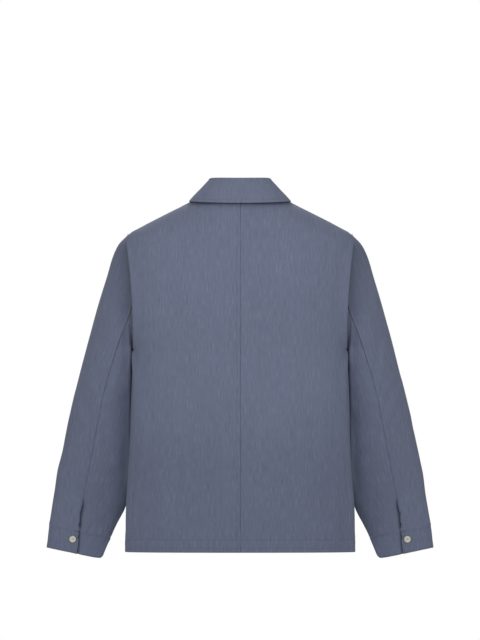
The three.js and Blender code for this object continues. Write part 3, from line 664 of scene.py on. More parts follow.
# ---------------------------------------------------------------- front panels
# Two fronts of the same cloth, meeting edge to edge over the zip. Each front edge and its facing are
# topstitched, and the side seams leave room for a hand pocket between two bartacks.
FRONT_CREASES = {
    "left": [
        (118, 500, 260, -5, 6, 1.2, 15), (60, 380, 230, 5, -5, 0.8, 14), (196, 560, 240, 4, 6, 1.4, 14),
        (165, 250, 220, -22, 8, 1.5, 14), (90, 215, 170, -30, -7, 1.1, 13), (224, 430, 220, -3, 5, 1.2, 13),
        (48, 610, 130, 7, 4, 0.7, 11), (150, 130, 120, -48, 6, 0.9, 12), (205, 330, 130, -34, 6, 1.5, 10)],
    "right": [
        (126, 540, 220, 6, -5, 1.1, 14), (66, 430, 270, -4, 6, 0.8, 15), (188, 590, 200, -5, 5, 1.3, 13),
        (172, 270, 240, -18, -8, 1.4, 15), (96, 200, 150, -34, 7, 1.2, 12), (230, 470, 260, 4, -6, 1.2, 14),
        (54, 650, 80, -6, 3, 0.6, 10), (158, 140, 140, -44, -5, 0.8, 13), (210, 350, 150, -30, -6, 1.4, 11)],
}
ZIP_ROW = 7.0
front_shares = lines_across(84, 300, (0.0, 0.35, 1.1, 2.2, 3.8, 6.4, 7.0, 7.6, 9.0))
front_panels = {}
for right, side in SIDES:
    panel = body_grid(False, front_shares)
    first, last, _, _ = from_edges(panel)
    height = soft(panel.across, panel.down, 13 + right, 0.9)
    near_zip = 1 - 0.8 * bell(last, 34)
    height = (height + creases(panel.across, panel.down, FRONT_CREASES[side])) * near_zip * calm(14, first)
    height += hem_relief(panel, 23 + right) + side_relief(panel, first, 1.2)
    height += groove(last - ZIP_ROW, 0.4, 1.0) + puckers(panel.down, last - ZIP_ROW, 33, 0.22, 9, 23)
    panel.lift(height * armhole_ends(panel.down, first))
    front_panels[side] = panel
    sewn(f"front_{side}", panel, hemmed(panel), body_cloth,
         shift=(3.1 + 1.2 * right, 1.1 + 1.1 * right))
    stitched(f"front_{side}_stitches", hem_rows(panel) + [trace(panel, last, ZIP_ROW, panel.down > 78)])

# ---------------------------------------------------------------- sleeves
# Two-piece set-in sleeves. The upper piece laps over the under piece along the back seam, which is
# left open above the cuff as a slit with its own strip behind. The sleeves hang a little forward.
LAP_FADES, SLIT_TOP, CUFF_TOP, WRIST, FRONT_SEAM = 4, 12, 14, 15, -108.0

# Row, outer edge across and up, inner edge across and up, middle back, half behind and before,
# the back seam's angle, share of the armhole's bow
SLEEVE = np.array([
    [0, 223.0, -80.0, 208.6, -300.0, 0, 60, 58, 102, 1],
    [1, 237.0, -95.0, 209.9, -303.0, -3, 51, 51, 109.4, 0.8],
    [2, 249.0, -120.0, 210.6, -309.0, -7, 49, 49, 109.8, 0.5],
    [3, 260.0, -156.0, 210.6, -320.0, -13, 53, 53, 106.5, 0.2],
    [4, 272.0, -196.0, 210.6, -338.0, -21, 58, 58, 101.7, 0],
    [5, 287.0, -250.0, 210.6, -370.0, -31, 60, 60, 94.4, 0],
    [6, 300.0, -296.0, 210.1, -402.0, -39, 60, 60, 88.6, 0],
    [7, 312.0, -343.0, 209.6, -436.0, -46, 57, 57, 84, 0],
    [8, 324.0, -390.0, 209.5, -470.0, -51, 52, 52, 82.7, 0],
    [9, 335.0, -437.0, 210.0, -505.0, -55, 46, 46, 81.3, 0],
    [10, 345.0, -484.0, 211.0, -540.0, -59, 40, 40, 79.6, 0],
    [11, 355.0, -530.0, 215.5, -575.0, -62, 33, 33, 79.5, 0],
    [12, 362.5, -577.0, 224.0, -608.0, -66, 28, 28, 79, 0],
    [13, 370.0, -624.0, 241.0, -641.0, -69, 25, 25, 82.6, 0],
    [14, 373.4, -644.5, 253.2, -667.0, -70, 24, 24, 88.7, 0],
    [15, 378.2, -686.5, 270.0, -709.0, -72, 22, 22, 95.4, 0],
])
(outer_x, outer_z, inner_x, inner_z, middle_y, half_behind, half_before, back_seam,
 bow_share) = [smooth_through(SLEEVE, column) for column in range(1, 10)]


def sleeve_point(row, degrees):
    """A point of the sleeve: 0 degrees is the outer edge, 90 behind and 180 the inner edge."""
    turn = np.radians(degrees)
    across, behind = np.cos(turn), np.sin(turn) > 0
    half = np.where(behind, half_behind(row), half_before(row))
    bow = bow_share(row) * np.where(behind, BOW_BEHIND, BOW_BEFORE) * (1 - across**2)
    share = (1 + across) / 2
    return np.stack([inner_x(row) + (outer_x(row) - inner_x(row)) * share - bow,
                     middle_y(row) + half * np.sin(turn),
                     inner_z(row) + (outer_z(row) - inner_z(row)) * share], axis=-1)


def sleeve_grid(rows, start, end, shares):
    """A part of the sleeve between two angles, which may change from row to row."""
    turn = np.linspace(0, 1, 400)
    curve = np.array([sleeve_point(row, start(row) + (end(row) - start(row)) * turn) for row in rows])
    points, length = spread(curve, shares)
    down = np.repeat(run_along(points.mean(axis=1))[:, None], len(shares), axis=1)
    return Panel(points, (shares[None, :] - 0.5) * length[:, None], down)


# Middle across and down, length, lean, bend, depth, width: folds at the elbow and beneath the arm
UPPER_CREASES = {
    "left": [
        (60, 265, 120, 58, 8, 1.8, 11), (-70, 300, 150, -50, -9, 2.0, 12), (20, 330, 110, 72, 6, 1.1, 11),
        (85, 180, 150, 34, 8, 1.3, 13), (-40, 410, 140, -38, 7, 1.3, 12), (55, 440, 120, 42, -6, 1.2, 11),
        (-90, 210, 160, -32, 8, 1.6, 12), (5, 120, 150, 12, 6, 0.8, 16), (-60, 90, 110, -20, 6, 1.2, 12)],
    "right": [
        (66, 285, 140, 54, 9, 1.7, 12), (-64, 270, 130, -56, -7, 2.0, 11), (14, 350, 120, 66, -6, 1.2, 12),
        (78, 200, 170, 30, -8, 1.2, 14), (-48, 430, 120, -44, 6, 1.3, 11), (48, 420, 140, 36, 7, 1.2, 12),
        (-84, 190, 140, -38, -8, 1.5, 12), (12, 140, 170, -10, 5, 0.8, 15), (-52, 80, 120, -24, -6, 1.1, 13)],
}
UNDER_CREASES = {
    "left": [
        (30, 150, 110, 50, 8, 2.2, 12), (-30, 210, 120, -46, 8, 2.2, 12), (10, 270, 110, 64, -7, 2.0, 11),
        (-25, 330, 120, -30, 6, 1.5, 12), (28, 60, 90, 60, 6, 2.2, 11), (20, 400, 120, 24, 6, 1.0, 11)],
    "right": [
        (26, 170, 130, 46, -8, 2.1, 12), (-34, 230, 110, -52, 7, 2.2, 12), (14, 250, 100, 70, 6, 2.0, 11),
        (-20, 350, 130, -26, -6, 1.4, 12), (32, 70, 100, 54, -6, 2.2, 12), (16, 410, 110, 28, 5, 1.0, 11)],
}
sleeve_rows = np.concatenate([[0, 0.008, 0.03, 0.06, 0.1, 0.16, 0.23], np.linspace(0.3, 13.6, 124),
                              [13.7, 13.8, 13.88, 13.94, 13.98, 14.0]])
row_of = sleeve_rows[:, None]
# The sleeves' warp is a shade darker than the body's: painted shade
sleeve_cloth = chambray("sleeve chambray", 97, 105, 128)
ARMHOLE_DIP, SLIT_GAPE, SLIT_SINK, PRESSED_BACK, SLEEVE_BULGE = 6.5, 3.0, 4.2, 9.5, 2.0


def slit_edge(row):
    """The angle of the covering edge, which wavers a little where it is loose."""
    loose = ramp(row, SLIT_TOP, 0.3) * ramp(row, WRIST, -0.5)
    return back_seam(row) + loose * (0.9 * math.sin(8.3 * row) + 0.6 * math.sin(19.7 * row))


def armhole_edge():
    """The body's edge round the armhole, its normals, and the way from it over the body."""
    back, front = back_panels["left"], front_panels["left"]
    ring = (back.down[:, 0] > -SHOULDER_Z - 1) & (back.down[:, 0] < -UNDERARM_Z + 1)
    parts = []
    for panel, column in ((back, -1), (front, 0)):
        edge, normals = panel.points[ring, column], panel.normals[ring, column]
        inward = np.cross(normals, np.gradient(edge, axis=0))
        inward /= np.linalg.norm(inward, axis=1, keepdims=True)
        outside = np.sum(inward * (edge - edge.mean(axis=0) * [1, 0, 1]), axis=1, keepdims=True) < 0
        parts.append((edge, normals, np.where(outside, -inward, inward)))
    return [np.concatenate(pair) for pair in zip(*parts)]


def sleeve_relief(part, panel, right, side, slit):
    """Folds at the elbow and under the arm, the lapped back seam, the open slit and the gathered cuff."""
    first, last, top, bottom = from_edges(panel)
    height = soft(panel.across, panel.down, 15 + right, 0.8, 0.7)
    height += creases(panel.across, panel.down, (UPPER_CREASES if part == "upper" else UNDER_CREASES)[side])
    toward = np.clip(-panel.normals[..., 0], 0, 1)
    height = height * (1 - toward * np.where(height < 0, 0.9, 0.5)) * calm(12, first, last, top, bottom)
    height += groove(bottom, 0.3, 1.6) + groove(top, 0.5, 1.5)
    height += SLEEVE_BULGE * toward**2 * bell(panel.points[..., 2] + 345, 48) * calm(8, top)
    seam = first if part == "upper" else last
    height += puckers(panel.down, seam, 47, 0.4, 5, 9) * calm(6, top, bottom)
    height += puckers(panel.across, bottom, 41 + right, 0.9, 17, 15) * calm(3, bottom, first, last)
    faint = 1 - 0.7 * ramp(row_of, LAP_FADES, 3)
    if part == "upper":
        height += 0.8 * turned_over(first, 6.5) * (1 - slit) * faint + groove(last, 0.5, 1.8)
        return height + SLIT_GAPE * slit * bell(first, 8)
    height += groove(first, 0.5, 1.8) + groove(last, 1.1, 2.2) * faint
    return height - slit * (SLIT_SINK * bell(last, 4.4) + 0.8 * bell(last, 12))


armhole = armhole_edge()
for right, side in SIDES:
    upper = sleeve_grid(sleeve_rows, slit_edge, lambda row: FRONT_SEAM, lines_across(72, 220))
    under = sleeve_grid(sleeve_rows, lambda row: FRONT_SEAM, lambda row: back_seam(row) - 360,
                        lines_across(52, 130))
    slit = ramp(row_of, SLIT_TOP, 0.35) * ramp(row_of, CUFF_TOP + 0.05, -0.4)
    for part, panel in (("upper", upper), ("under", under)):
        first, last, top, _ = from_edges(panel)
        behind = np.clip(panel.normals[..., 1] * 1.5, 0, 1)
        panel.lift(sleeve_relief(part, panel, right, side, slit))
        # Beside the body the under sleeve is pressed back, so that no light shows between the two
        beside = behind * beside_armhole(-panel.points[:1, :, 2], 12)
        inward = panel.points[..., 0] - panel.points[..., 0].min(axis=1, keepdims=True)
        pressed = ramp(row_of, 0.8, 1.4) * ramp(row_of, SLIT_TOP, -2) * (part == "under")
        pressed = pressed * np.clip(panel.normals[..., 1] * 2.5, 0, 1)
        panel.shift_back(PRESSED_BACK * pressed * bell(inward - 2, 8))
        # The top follows the step of the body's edge, and dips behind it just below
        edge_z = -panel.points[:1, :, 2]
        step = ARMHOLE_STEP * beside_armhole(edge_z, 40) - 1.2 * beside_armhole(edge_z, 12)
        panel.shift_back(np.clip(panel.points[:1, :, 1] / 8, 0, 1) * np.clip(step, 0, None) * bell(top, 2))
        panel.shift_back(-ARMHOLE_DIP * beside * (1 - bell(top, 3)) * bell(top - 5, 30))
        # Painted shade along the armhole, a painted shadow line down the slit on the under sleeve, and
        # painted light where the under sleeve is pressed back beside the body
        reach = np.linalg.norm((panel.points[:, :, None] - panel.points[0]) * [1, 0.3, 1], axis=3)
        painted_shading = 0.6 * bell(reach.min(axis=2), 30) * beside[0][reach.argmin(axis=2)]
        painted_shading = painted_shading + 0.5 * slit * bell(last, 3) * (part == "under") - 0.35 * pressed * bell(inward, 9)
        panel.tuck_under(*armhole)
        sewn(f"sleeve_{part}_{side}", panel, CLOTH, sleeve_cloth,
             open_sides=(1, 1, 1, 0.15),
             painted_shading=np.concatenate([np.repeat(painted_shading[:1], 3, axis=0), painted_shading]),
             shift=(5.2, 3.4) if part == "upper" else (6.6, 4.7))
    slit_at = upper.down[np.searchsorted(sleeve_rows, SLIT_TOP), 0]
    stitched(f"sleeve_{side}_stitches", [trace(upper, from_edges(upper)[0], 2.2, upper.down > slit_at)])

# ---------------------------------------------------------------- slit strips
# A narrow straight strip of the sleeve's cloth closes each slit from behind. It is sewn to the under
# sleeve, and the cuff holds its lower end.
STRIP_BEFORE, STRIP_PAST, STRIP_SINK = 12.0, -18.0, CLOTH + 4.2
for side in ("left", "right"):
    strip = sleeve_grid(np.linspace(SLIT_TOP, CUFF_TOP, 26), lambda row: back_seam(row) + STRIP_BEFORE,
                        lambda row: back_seam(row) + STRIP_PAST, lines_across(12, 30, (0.0, 0.35, 1.1)))
    strip.lift(soft(strip.across, strip.down, 17, 0.15, 0.3) - STRIP_SINK)
    sewn(f"placket_{side}", strip, CLOTH, sleeve_cloth, shift=(8.1, 5.0))

# ---------------------------------------------------------------- cuffs
# Straight cuffs of doubled cloth. The visible end lies over the buttoned end, and a row of stitches
# runs just inside every edge.
CUFF_CLOTH, CUFF_LAP, CUFF_LAP_IN, CUFF_GAPE, CUFF_ROW, CUFF_CORNER = 2.4, 20.0, 4.2, 2.2, 2.6, (4.0, 0, 1.6)
CUFF_CREASES = [(-70, 20, 46, 8, 3, 0.7, 9), (10, 22, 50, -12, -3, 0.8, 10), (75, 18, 44, 14, 3, 0.7, 9)]
cuff_rows = CUFF_TOP + np.concatenate([[0, 0.01, 0.028, 0.05, 0.075, 0.1], np.linspace(0.14, 0.86, 20),
                                       [0.9, 0.925, 0.95, 0.972, 0.99, 1.0]])
# The cuffs' warp is a shade darker than the body's: painted shade
cuff_cloth = chambray("cuff chambray", 97, 105, 129)
cuff_panels = {}
for right, side in SIDES:
    cuff = sleeve_grid(cuff_rows, slit_edge, lambda row: back_seam(row) - 360 - CUFF_LAP,
                       lines_across(120, 270))
    first, last, top, bottom = from_edges(cuff)
    lapped = ramp(last, 26, -6)
    height = 0.1 - CUFF_LAP_IN * lapped**2 * (3 - 2 * lapped) + CUFF_GAPE * bell(first, 8)
    height += soft(cuff.across, cuff.down, 18 + right, 0.5, 0.5)
    height += creases(cuff.across, cuff.down, CUFF_CREASES)
    for off, depth in ((top, 0.2), (bottom, 0.25), (first, 0.25)):
        height += groove(off - CUFF_ROW, depth, 0.8)
    height += puckers(cuff.across, top - CUFF_ROW, 43 + right, 0.35, 7, 13)
    height += puckers(cuff.across, bottom - CUFF_ROW, 45 + right, 0.25, 6, 15)
    cuff.lift(height)
    inner = ramp(cuff.points[..., 0] - cuff.points[..., 0].min(axis=1, keepdims=True), 16, -16)
    cuff.points += (inner * ramp(bottom, 9, -9) ** 2)[..., None] * CUFF_CORNER
    cuff_panels[side] = cuff
    # Painted shadow: a dark line painted where the covering end lies over the buttoned end
    sewn(f"cuff_{side}", cuff, CUFF_CLOTH, cuff_cloth,
         open_sides=(1, 1, 0.3, 1), shift=(9.3, 6.1), painted_shading=0.7 * bell(last - CUFF_LAP, 2.6))
    lines = [trace(cuff, off, CUFF_ROW, first > 2.2, down=False) for off in (top, bottom)]
    stitched(f"cuff_{side}_stitches", lines + [trace(cuff, first, CUFF_ROW)])

# ---------------------------------------------------------------- collar
# A one-piece shirt collar of doubled cloth: it stands up from the neck seam, folds over at the nape
# and falls over the back and shoulders to two points in front. Stitches run inside its loose edge.
COLLAR_CLOTH, FOLD_RADIUS, FALL_OFF_BODY, FALL_BACK_Z, COLLAR_ROW = 2.2, 2.0, 4.0, -15.0, 6.0
FALL_SHOULDER, FALL_BEND, COLLAR_POINT = (97.0, -11.5), (105.0, -68.0), (66.0, -128.0)

# Place from the centre back (0) over the shoulder (1) to the front (2), lean inward, rise, bulge
COLLAR = np.array([
    [0, 6, 31, 2],
    [0.6, 13.5, 31, 1.6],
    [1, 23.5, 27, 0.6],
    [1.4, 16, 19, 4],
    [1.8, 5, 10, 7],
    [2, 2, 6, 6],
])
COLLAR_CREASES = [(-95, 62, 60, 70, 5, 0.7, 9), (88, 60, 56, -64, -5, 0.8, 9), (20, 66, 80, 80, 4, 0.4, 9)]
NECK_SQUARE = 2.1
lean_in, rise_up, bulge_off = [smooth_through(COLLAR, column) for column in (1, 2, 3)]
collar_places = np.concatenate([np.linspace(0, 1, 46), np.linspace(1, 2, 44)[1:-1],
                                [1.985, 1.992, 1.996, 1.9985, 2.0]])


def front_angle(z, x):
    """The angle at which the front lies that far from the middle."""
    half, _, square, _, _ = body_half(np.float64(z), np.bool_(False))
    return float(np.arcsin(min(x / half, 1) ** (square / 2)))


def neck_point(place):
    """The neckline, from the middle behind at 0 over the shoulder at 1 to the front edge at 2."""
    if place <= 1:
        return body_point(np.float64(0), np.float64(np.pi - place * np.pi / 2))
    x, z = neckline(place - 1)
    return body_point(np.float64(z), np.float64(front_angle(z, x)))


def fall_edge(place, neck):
    """The height and angle on the body that the fall's loose edge lies over."""
    if place <= 1:
        z = FALL_BACK_Z + (FALL_SHOULDER[1] - FALL_BACK_Z) * place**2
        return z, np.pi - math.asin(min(neck[0] / NECK_HALF, 1) ** (NECK_SQUARE / 2))
    t = (place - 1) ** NECK_CURVE
    x, z = [(1 - t) ** 2 * a + 2 * t * (1 - t) * b + t**2 * c
            for a, b, c in zip(FALL_SHOULDER, FALL_BEND, COLLAR_POINT)]
    return z, front_angle(z, x)


def off_body(z, angle):
    """The direction straight off the body at a height and an angle."""
    z, angle = np.float64(z), np.float64(angle)
    along = body_point(z, angle - 0.04) - body_point(z, angle + 0.04)
    normal = np.cross(along, body_point(z - 2, angle) - body_point(z + 2, angle))
    return normal / np.linalg.norm(normal)


def collar_column(place, neck, outward):
    """The collar's under face at one place: up the stand, over the fold and down the fall."""
    up = np.array([0, 0, 1.0])
    centre = neck + outward * (FOLD_RADIUS - lean_in(place)) + up * rise_up(place)
    stand = [neck + (centre - outward * FOLD_RADIUS - neck) * t for t in np.linspace(0, 1, 14)[:-1]]
    fold = [centre + FOLD_RADIUS * (up * math.sin(t) - outward * math.cos(t))
            for t in np.linspace(0, np.pi, 10)[:-1]]
    z, angle = fall_edge(place, neck)
    off = off_body(z, angle)
    start = centre + outward * FOLD_RADIUS
    edge = body_point(np.float64(z), np.float64(angle)) + off * (FALL_OFF_BODY - COLLAR_CLOTH)
    steps = np.concatenate([np.linspace(0, 0.86, 26), [0.89, 0.915, 0.94, 0.96, 0.975, 0.988, 1.0]])
    fall = [start + (edge - start) * t + off * 4 * bulge_off(place) * t * (1 - t) for t in steps]
    return np.array(stand + fold + fall)


necks = np.array([neck_point(place) for place in collar_places])
away = np.gradient(np.concatenate([necks[1:2] * [-1, 1, 1], necks]), axis=0)[1:]
away = np.stack([-away[:, 1], away[:, 0], 0 * away[:, 0]], axis=1)
away /= np.linalg.norm(away, axis=1, keepdims=True)
away[0] = (0, 1, 0)
half_collar = np.array([collar_column(p, n, o) for p, n, o in zip(collar_places, necks, away)])
under_face = np.concatenate([half_collar[::-1], half_collar[1:] * [-1, 1, 1]]).transpose(1, 0, 2)
collar_points = (under_face - facing(under_face) * COLLAR_CLOTH)[:, ::-1]
across = run_along(collar_points[-1])
collar = Panel(collar_points, np.repeat(across[None] - across[-1] / 2, len(collar_points), axis=0),
               run_along(collar_points))
first, last, _, bottom = from_edges(collar)
height = soft(collar.across, collar.down, 51, 0.5, 0.8) + creases(collar.across, collar.down, COLLAR_CREASES)
height += groove(bottom - COLLAR_ROW, 0.3, 1.0) + puckers(collar.across, bottom - COLLAR_ROW, 52, 0.2, 6, 14)
height = height * ramp(collar.down, 42, 25) - 1.3 * bell(bottom, 14) * bell(np.abs(collar.across) - 136, 28)
collar.lift(height)
# The collar's warp is a shade lighter than the body's: painted light
sewn("collar", collar, COLLAR_CLOTH, chambray("collar chambray", 101, 108, 131),
     shift=(10.4, 7.0))
stitched("collar_stitches", [trace(collar, bottom, COLLAR_ROW, down=False)] + [
    trace(collar, off, COLLAR_ROW, collar.down > 24) for off in (first, last)])

# ---------------------------------------------------------------- cuff buttons
# Cream four-hole buttons, 12 mm across, with a raised rim and a slightly darker dished middle. Each is
# sewn through to the cuff with two bars of thread, over a stitched buttonhole.
BUTTON_RADIUS, BUTTON_THICK, BUTTON_ROW, BUTTON_DEGREES = 6.2, 2.6, CUFF_TOP + 0.4, 80.8
RIM, DISH_SLOPE, DISH_DEEP, HOLE_RADIUS, HOLE_AT, BUTTON_EDGE = 1.15, 0.65, 0.7, 0.75, 1.25, 0.35
BUTTONHOLE_HALF, BUTTONHOLE_ROWS = 8.2, (-0.8, 0.0, 0.8)
THREAD_BAR = (-1.7, 1.25), (-1.1, 2.1), (0, 2.25), (1.1, 2.1), (1.7, 1.25)  # along the button, and up


def noise(tree, scale, detail=2.0, distortion=0.0, place=None):
    """Noise that stays with the object, or follows the places given."""
    place = place or add_node(tree, "ShaderNodeTexCoord", {}).outputs["Object"]
    return add_node(tree, "ShaderNodeTexNoise", {
        "Vector": place, "Scale": scale, "Detail": detail, "Distortion": distortion}).outputs["Fac"]


def button_material():
    """Polished resin with faint drifting clouds, a little darker in the dished middle."""
    material, tree = new_material("cream resin")
    cloud, speck = noise(tree, 260.0, 4.0, 1.5), noise(tree, 2200.0)
    colour = mixed(tree, between(tree, cloud, 0.35, 0.7), linear(216, 213, 200), linear(207, 203, 188))
    colour = mixed(tree, times(tree, attribute(tree, "dish"), 0.55), colour, linear(206, 203, 176))
    finish(tree, colour, between(tree, speck, 0.3, 0.7, 0.42, 0.56), speck, 0.00004,
           Coat_Weight=0.08, Coat_Roughness=0.2)
    return material


def only_selected(piece):
    """Leaves this piece alone selected, for the operators."""
    bpy.ops.object.select_all(action="DESELECT")
    piece.select_set(True)
    bpy.context.view_layer.objects.active = piece


def cylinder(sides, radius, depth, place):
    """A new upright cylinder, the only thing selected."""
    bpy.ops.object.select_all(action="DESELECT")
    bpy.ops.mesh.primitive_cylinder_add(vertices=sides, radius=radius * MM, depth=depth * MM,
                                        location=[v * MM for v in place])
    return bpy.context.object


def edit_facing(piece, axis, sign):
    """Opens a mesh in edit mode with the faces that look along one axis selected."""
    bpy.ops.object.mode_set(mode="EDIT")
    shape = bmesh.from_edit_mesh(piece.data)
    for face in shape.faces:
        face.select_set(face.normal[axis] * sign > 0.9)
    bmesh.update_edit_mesh(piece.data)


resin, button_thread = button_material(), thread_material("button thread", 206, 198, 176)
for side, sign in (("left", 1), ("right", -1)):
    button = cylinder(48, BUTTON_RADIUS, BUTTON_THICK, (0, 0, BUTTON_THICK / 2))
    button.name = f"cuff_button_{side}_resin"
    bpy.ops.object.transform_apply(location=True)
    edit_facing(button, 2, 1)
    for inset, sink in ((RIM, 0), (DISH_SLOPE, -DISH_DEEP), (0.8, 0)):
        bpy.ops.mesh.inset(thickness=inset * MM, depth=sink * MM)
    bpy.ops.object.mode_set(mode="OBJECT")
    for hole in [(x, y, 1) for y in (HOLE_AT, -HOLE_AT) for x in (HOLE_AT, -HOLE_AT)]:
        drill = cylinder(20, HOLE_RADIUS, 9, hole)
        cut = button.modifiers.new("hole", "BOOLEAN")
        cut.operation, cut.object, cut.solver = "DIFFERENCE", drill, "EXACT"
        only_selected(button)
        bpy.ops.object.modifier_apply(modifier=cut.name)
        bpy.data.objects.remove(drill)
    soften = button.modifiers.new("edges", "BEVEL")
    soften.width, soften.segments, soften.limit_method, soften.angle_limit = BUTTON_EDGE * MM, 3, "ANGLE", 0.6
    bpy.ops.object.modifier_apply(modifier=soften.name)
    bpy.ops.object.shade_smooth_by_angle(angle=math.radians(40))
    off_middle = np.array([vertex.co.xy.length for vertex in button.data.vertices]) / MM
    mark = button.data.attributes.new("dish", "FLOAT", "POINT")
    mark.data.foreach_set("value", ramp(off_middle, 4.5, -0.8))
    button.data.materials.append(resin)
    cuff = cuff_panels[side]
    row = np.argmin(np.abs(cuff_rows - BUTTON_ROW))
    centre = sleeve_point(np.float64(BUTTON_ROW), np.float64(BUTTON_DEGREES)) * [sign, 1, 1]
    spot = np.argmin(np.linalg.norm(cuff.points[row] - centre, axis=1))
    centre, out = cuff.points[row, spot], cuff.normals[row, spot]
    down = cuff.points[row + 2, spot] - cuff.points[row - 2, spot]
    down = down / np.linalg.norm(down)
    placed = Vector(out).to_track_quat("Z", "Y").to_matrix().to_4x4()
    placed.translation = Vector(centre + out * 0.5) * MM
    button.data.transform(placed)
    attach(button, "jacket")
    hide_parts(f"cuff_button_{side}")
    bars = []
    for bar_x in (-HOLE_AT, HOLE_AT):
        for strand in (-0.32, 0.0, 0.32):
            line = np.array([placed @ (Vector((bar_x + strand, y, up)) * MM) for y, up in THREAD_BAR]) / MM
            bars.append((line, np.repeat(out[None], len(line), axis=0)))
    stitched(f"cuff_button_{side}_thread", bars, button_thread, pitch=0.75, length=1.25, radius=0.2)
    along, cloth, facings = np.cross(out, down), cuff.points.reshape(-1, 3), cuff.normals.reshape(-1, 3)
    hole_lines = []
    for off in BUTTONHOLE_ROWS:
        line = centre + down * off + along * np.linspace(-BUTTONHOLE_HALF, BUTTONHOLE_HALF, 18)[:, None]
        nearest = [np.argmin(np.linalg.norm(cloth - point, axis=1)) for point in line]
        normal = facings[nearest]
        line = line + normal * np.sum((cloth[nearest] - line) * normal, axis=1, keepdims=True)
        hole_lines.append((line, normal))
    stitched(f"cuff_{side}_buttonhole", hole_lines, pitch=0.7, length=1.0, radius=0.34)

# ---------------------------------------------------------------- zip
# A closed-end metal zip: two dark blue woven tapes behind the front edges, nickel teeth that mesh
# along the middle, stops at the top, a box at the foot, and a slider with a long pull.
TAPE_WIDTH, CHAIN_HALF, TAPE_TOP, TAPE_FOOT, CHAIN_TOP, CHAIN_FOOT = 14.0, 2.9, -71.0, -692.0, -87.0, -680.0
TAPE_CLOTH, TAPE_CORD, TOOTH_PITCH, TOOTH_EDGE, TAPE_ROW = 0.8, 0.35, 3.0, 0.2, 13.0
TOOTH_LONG, TOOTH_WIDE, TOOTH_HEEL, TOOTH_THICK = 3.6, 2.7, 2.2, 1.25


def tape_material():
    """Close herringbone tape with a thicker corded edge."""
    rib, pitch = 0.0012, 0.0009
    material, tree = new_material("zip tape")
    line = add_node(tree, "ShaderNodeUVMap", {}, uv_map="thread").outputs[0]
    parts = add_node(tree, "ShaderNodeSeparateXYZ", {0: line}).outputs
    slope = plus(tree, number(tree, "PINGPONG", parts[0], rib), parts[1])
    wave = number(tree, "SINE", times(tree, slope, 2 * math.pi / pitch))
    fuzz = threads(tree, line, (900, 900), 2.0, 4.4)
    shade = plus(tree, between(tree, wave, -1, 1, 0.85, 1.1), between(tree, fuzz, 0.2, 0.8, -0.1, 0.1))
    finish(tree, shaded(tree, linear(70, 79, 102), shade), between(tree, fuzz, 0.2, 0.8, 0.75, 0.92),
           wave, 0.0001)
    return material


def metal_material():
    """Nickel plate with fine tumbling scratches and cloudy polish."""
    material, tree = new_material("nickel")
    place = add_node(tree, "ShaderNodeTexCoord", {}).outputs["Object"]
    lines = add_node(tree, "ShaderNodeMapping", {"Vector": place, "Scale": (3200, 900, 240)}).outputs[0]
    cloud, scratch = noise(tree, 180.0, 5.0), noise(tree, 1.0, 3.0, place=lines)
    colour = mixed(tree, between(tree, cloud, 0.3, 0.7), linear(196, 198, 202), linear(168, 169, 172))
    rough = plus(tree, between(tree, cloud, 0.25, 0.75, 0.22, 0.38), between(tree, scratch, 0.3, 0.7, 0, 0.1))
    finish(tree, colour, rough, scratch, 0.00003, 0.5, Metallic=1.0)
    return material


def front_line(z):
    """The middle of the chain at a height: the fronts' own line, set back behind the cloth."""
    depth = np.where(z <= 2 - HEM_ROW, HEM_CLOTH, CLOTH) + 0.8
    return np.stack([0 * z, -depth_before(z) + depth, z], axis=-1)


tape_cloth, nickel = tape_material(), metal_material()
tape_edge = CHAIN_HALF + TAPE_WIDTH
tape_levels = np.concatenate([TAPE_TOP - np.array([0, 0.3, 1.0]), TAPE_FOOT + np.array([1.0, 0.3, 0])])
tape_levels = np.insert(tape_levels, 3, np.linspace(TAPE_TOP - 3, TAPE_FOOT + 3, 220))
tape_x = np.concatenate([[tape_edge, tape_edge - 0.3], np.linspace(tape_edge - 1.2, CHAIN_HALF + 2.6, 10),
                         CHAIN_HALF + np.array([1.6, 0.9, 0.3])])
for side in ("left", "right"):
    rows = np.array([body_point(np.float64(z), np.array([front_angle(z, x) for x in tape_x]))
                     for z in tape_levels])
    behind_front = np.interp(tape_levels, [1 - HEM_ROW, 4 - HEM_ROW], [HEM_CLOTH, CLOTH])
    rows[..., 1] += behind_front[:, None] + 0.35
    tape = Panel(rows, np.repeat(tape_x[None], len(tape_levels), axis=0),
                 np.repeat(-tape_levels[:, None], len(tape_x), axis=1))
    cord = bell(tape.across - CHAIN_HALF - 1.1, 0.7)
    tape.lift(0.12 * cord - 0.1 + soft(tape.across, tape.down, 61, 0.06, 0.2))
    sewn(f"zip_tape_{side}", tape, TAPE_CLOTH + TAPE_CORD * cord, tape_cloth,
         ending="_weave")

# One tooth, made once: a block with a rounded nose and a dimple, clamped round the tape's cord
bpy.ops.object.select_all(action="DESELECT")
bpy.ops.mesh.primitive_cube_add(size=1)
tooth = bpy.context.object
for vertex in tooth.data.vertices:
    vertex.co.x *= TOOTH_LONG
    vertex.co.y *= TOOTH_WIDE if vertex.co.x > 0 else TOOTH_HEEL
    vertex.co.z *= TOOTH_THICK
edit_facing(tooth, 0, -1)
bpy.ops.mesh.inset(thickness=0.22, depth=0.3)
bpy.ops.object.mode_set(mode="OBJECT")
round_off = tooth.modifiers.new("edges", "BEVEL")
round_off.width, round_off.segments, round_off.limit_method = TOOTH_EDGE, 1, "ANGLE"
only_selected(tooth)
bpy.ops.object.modifier_apply(modifier=round_off.name)
tooth_points = np.array([vertex.co for vertex in tooth.data.vertices]) + [1.05, 0, 0]
tooth_faces = [list(polygon.vertices) for polygon in tooth.data.polygons]
bpy.data.objects.remove(tooth)

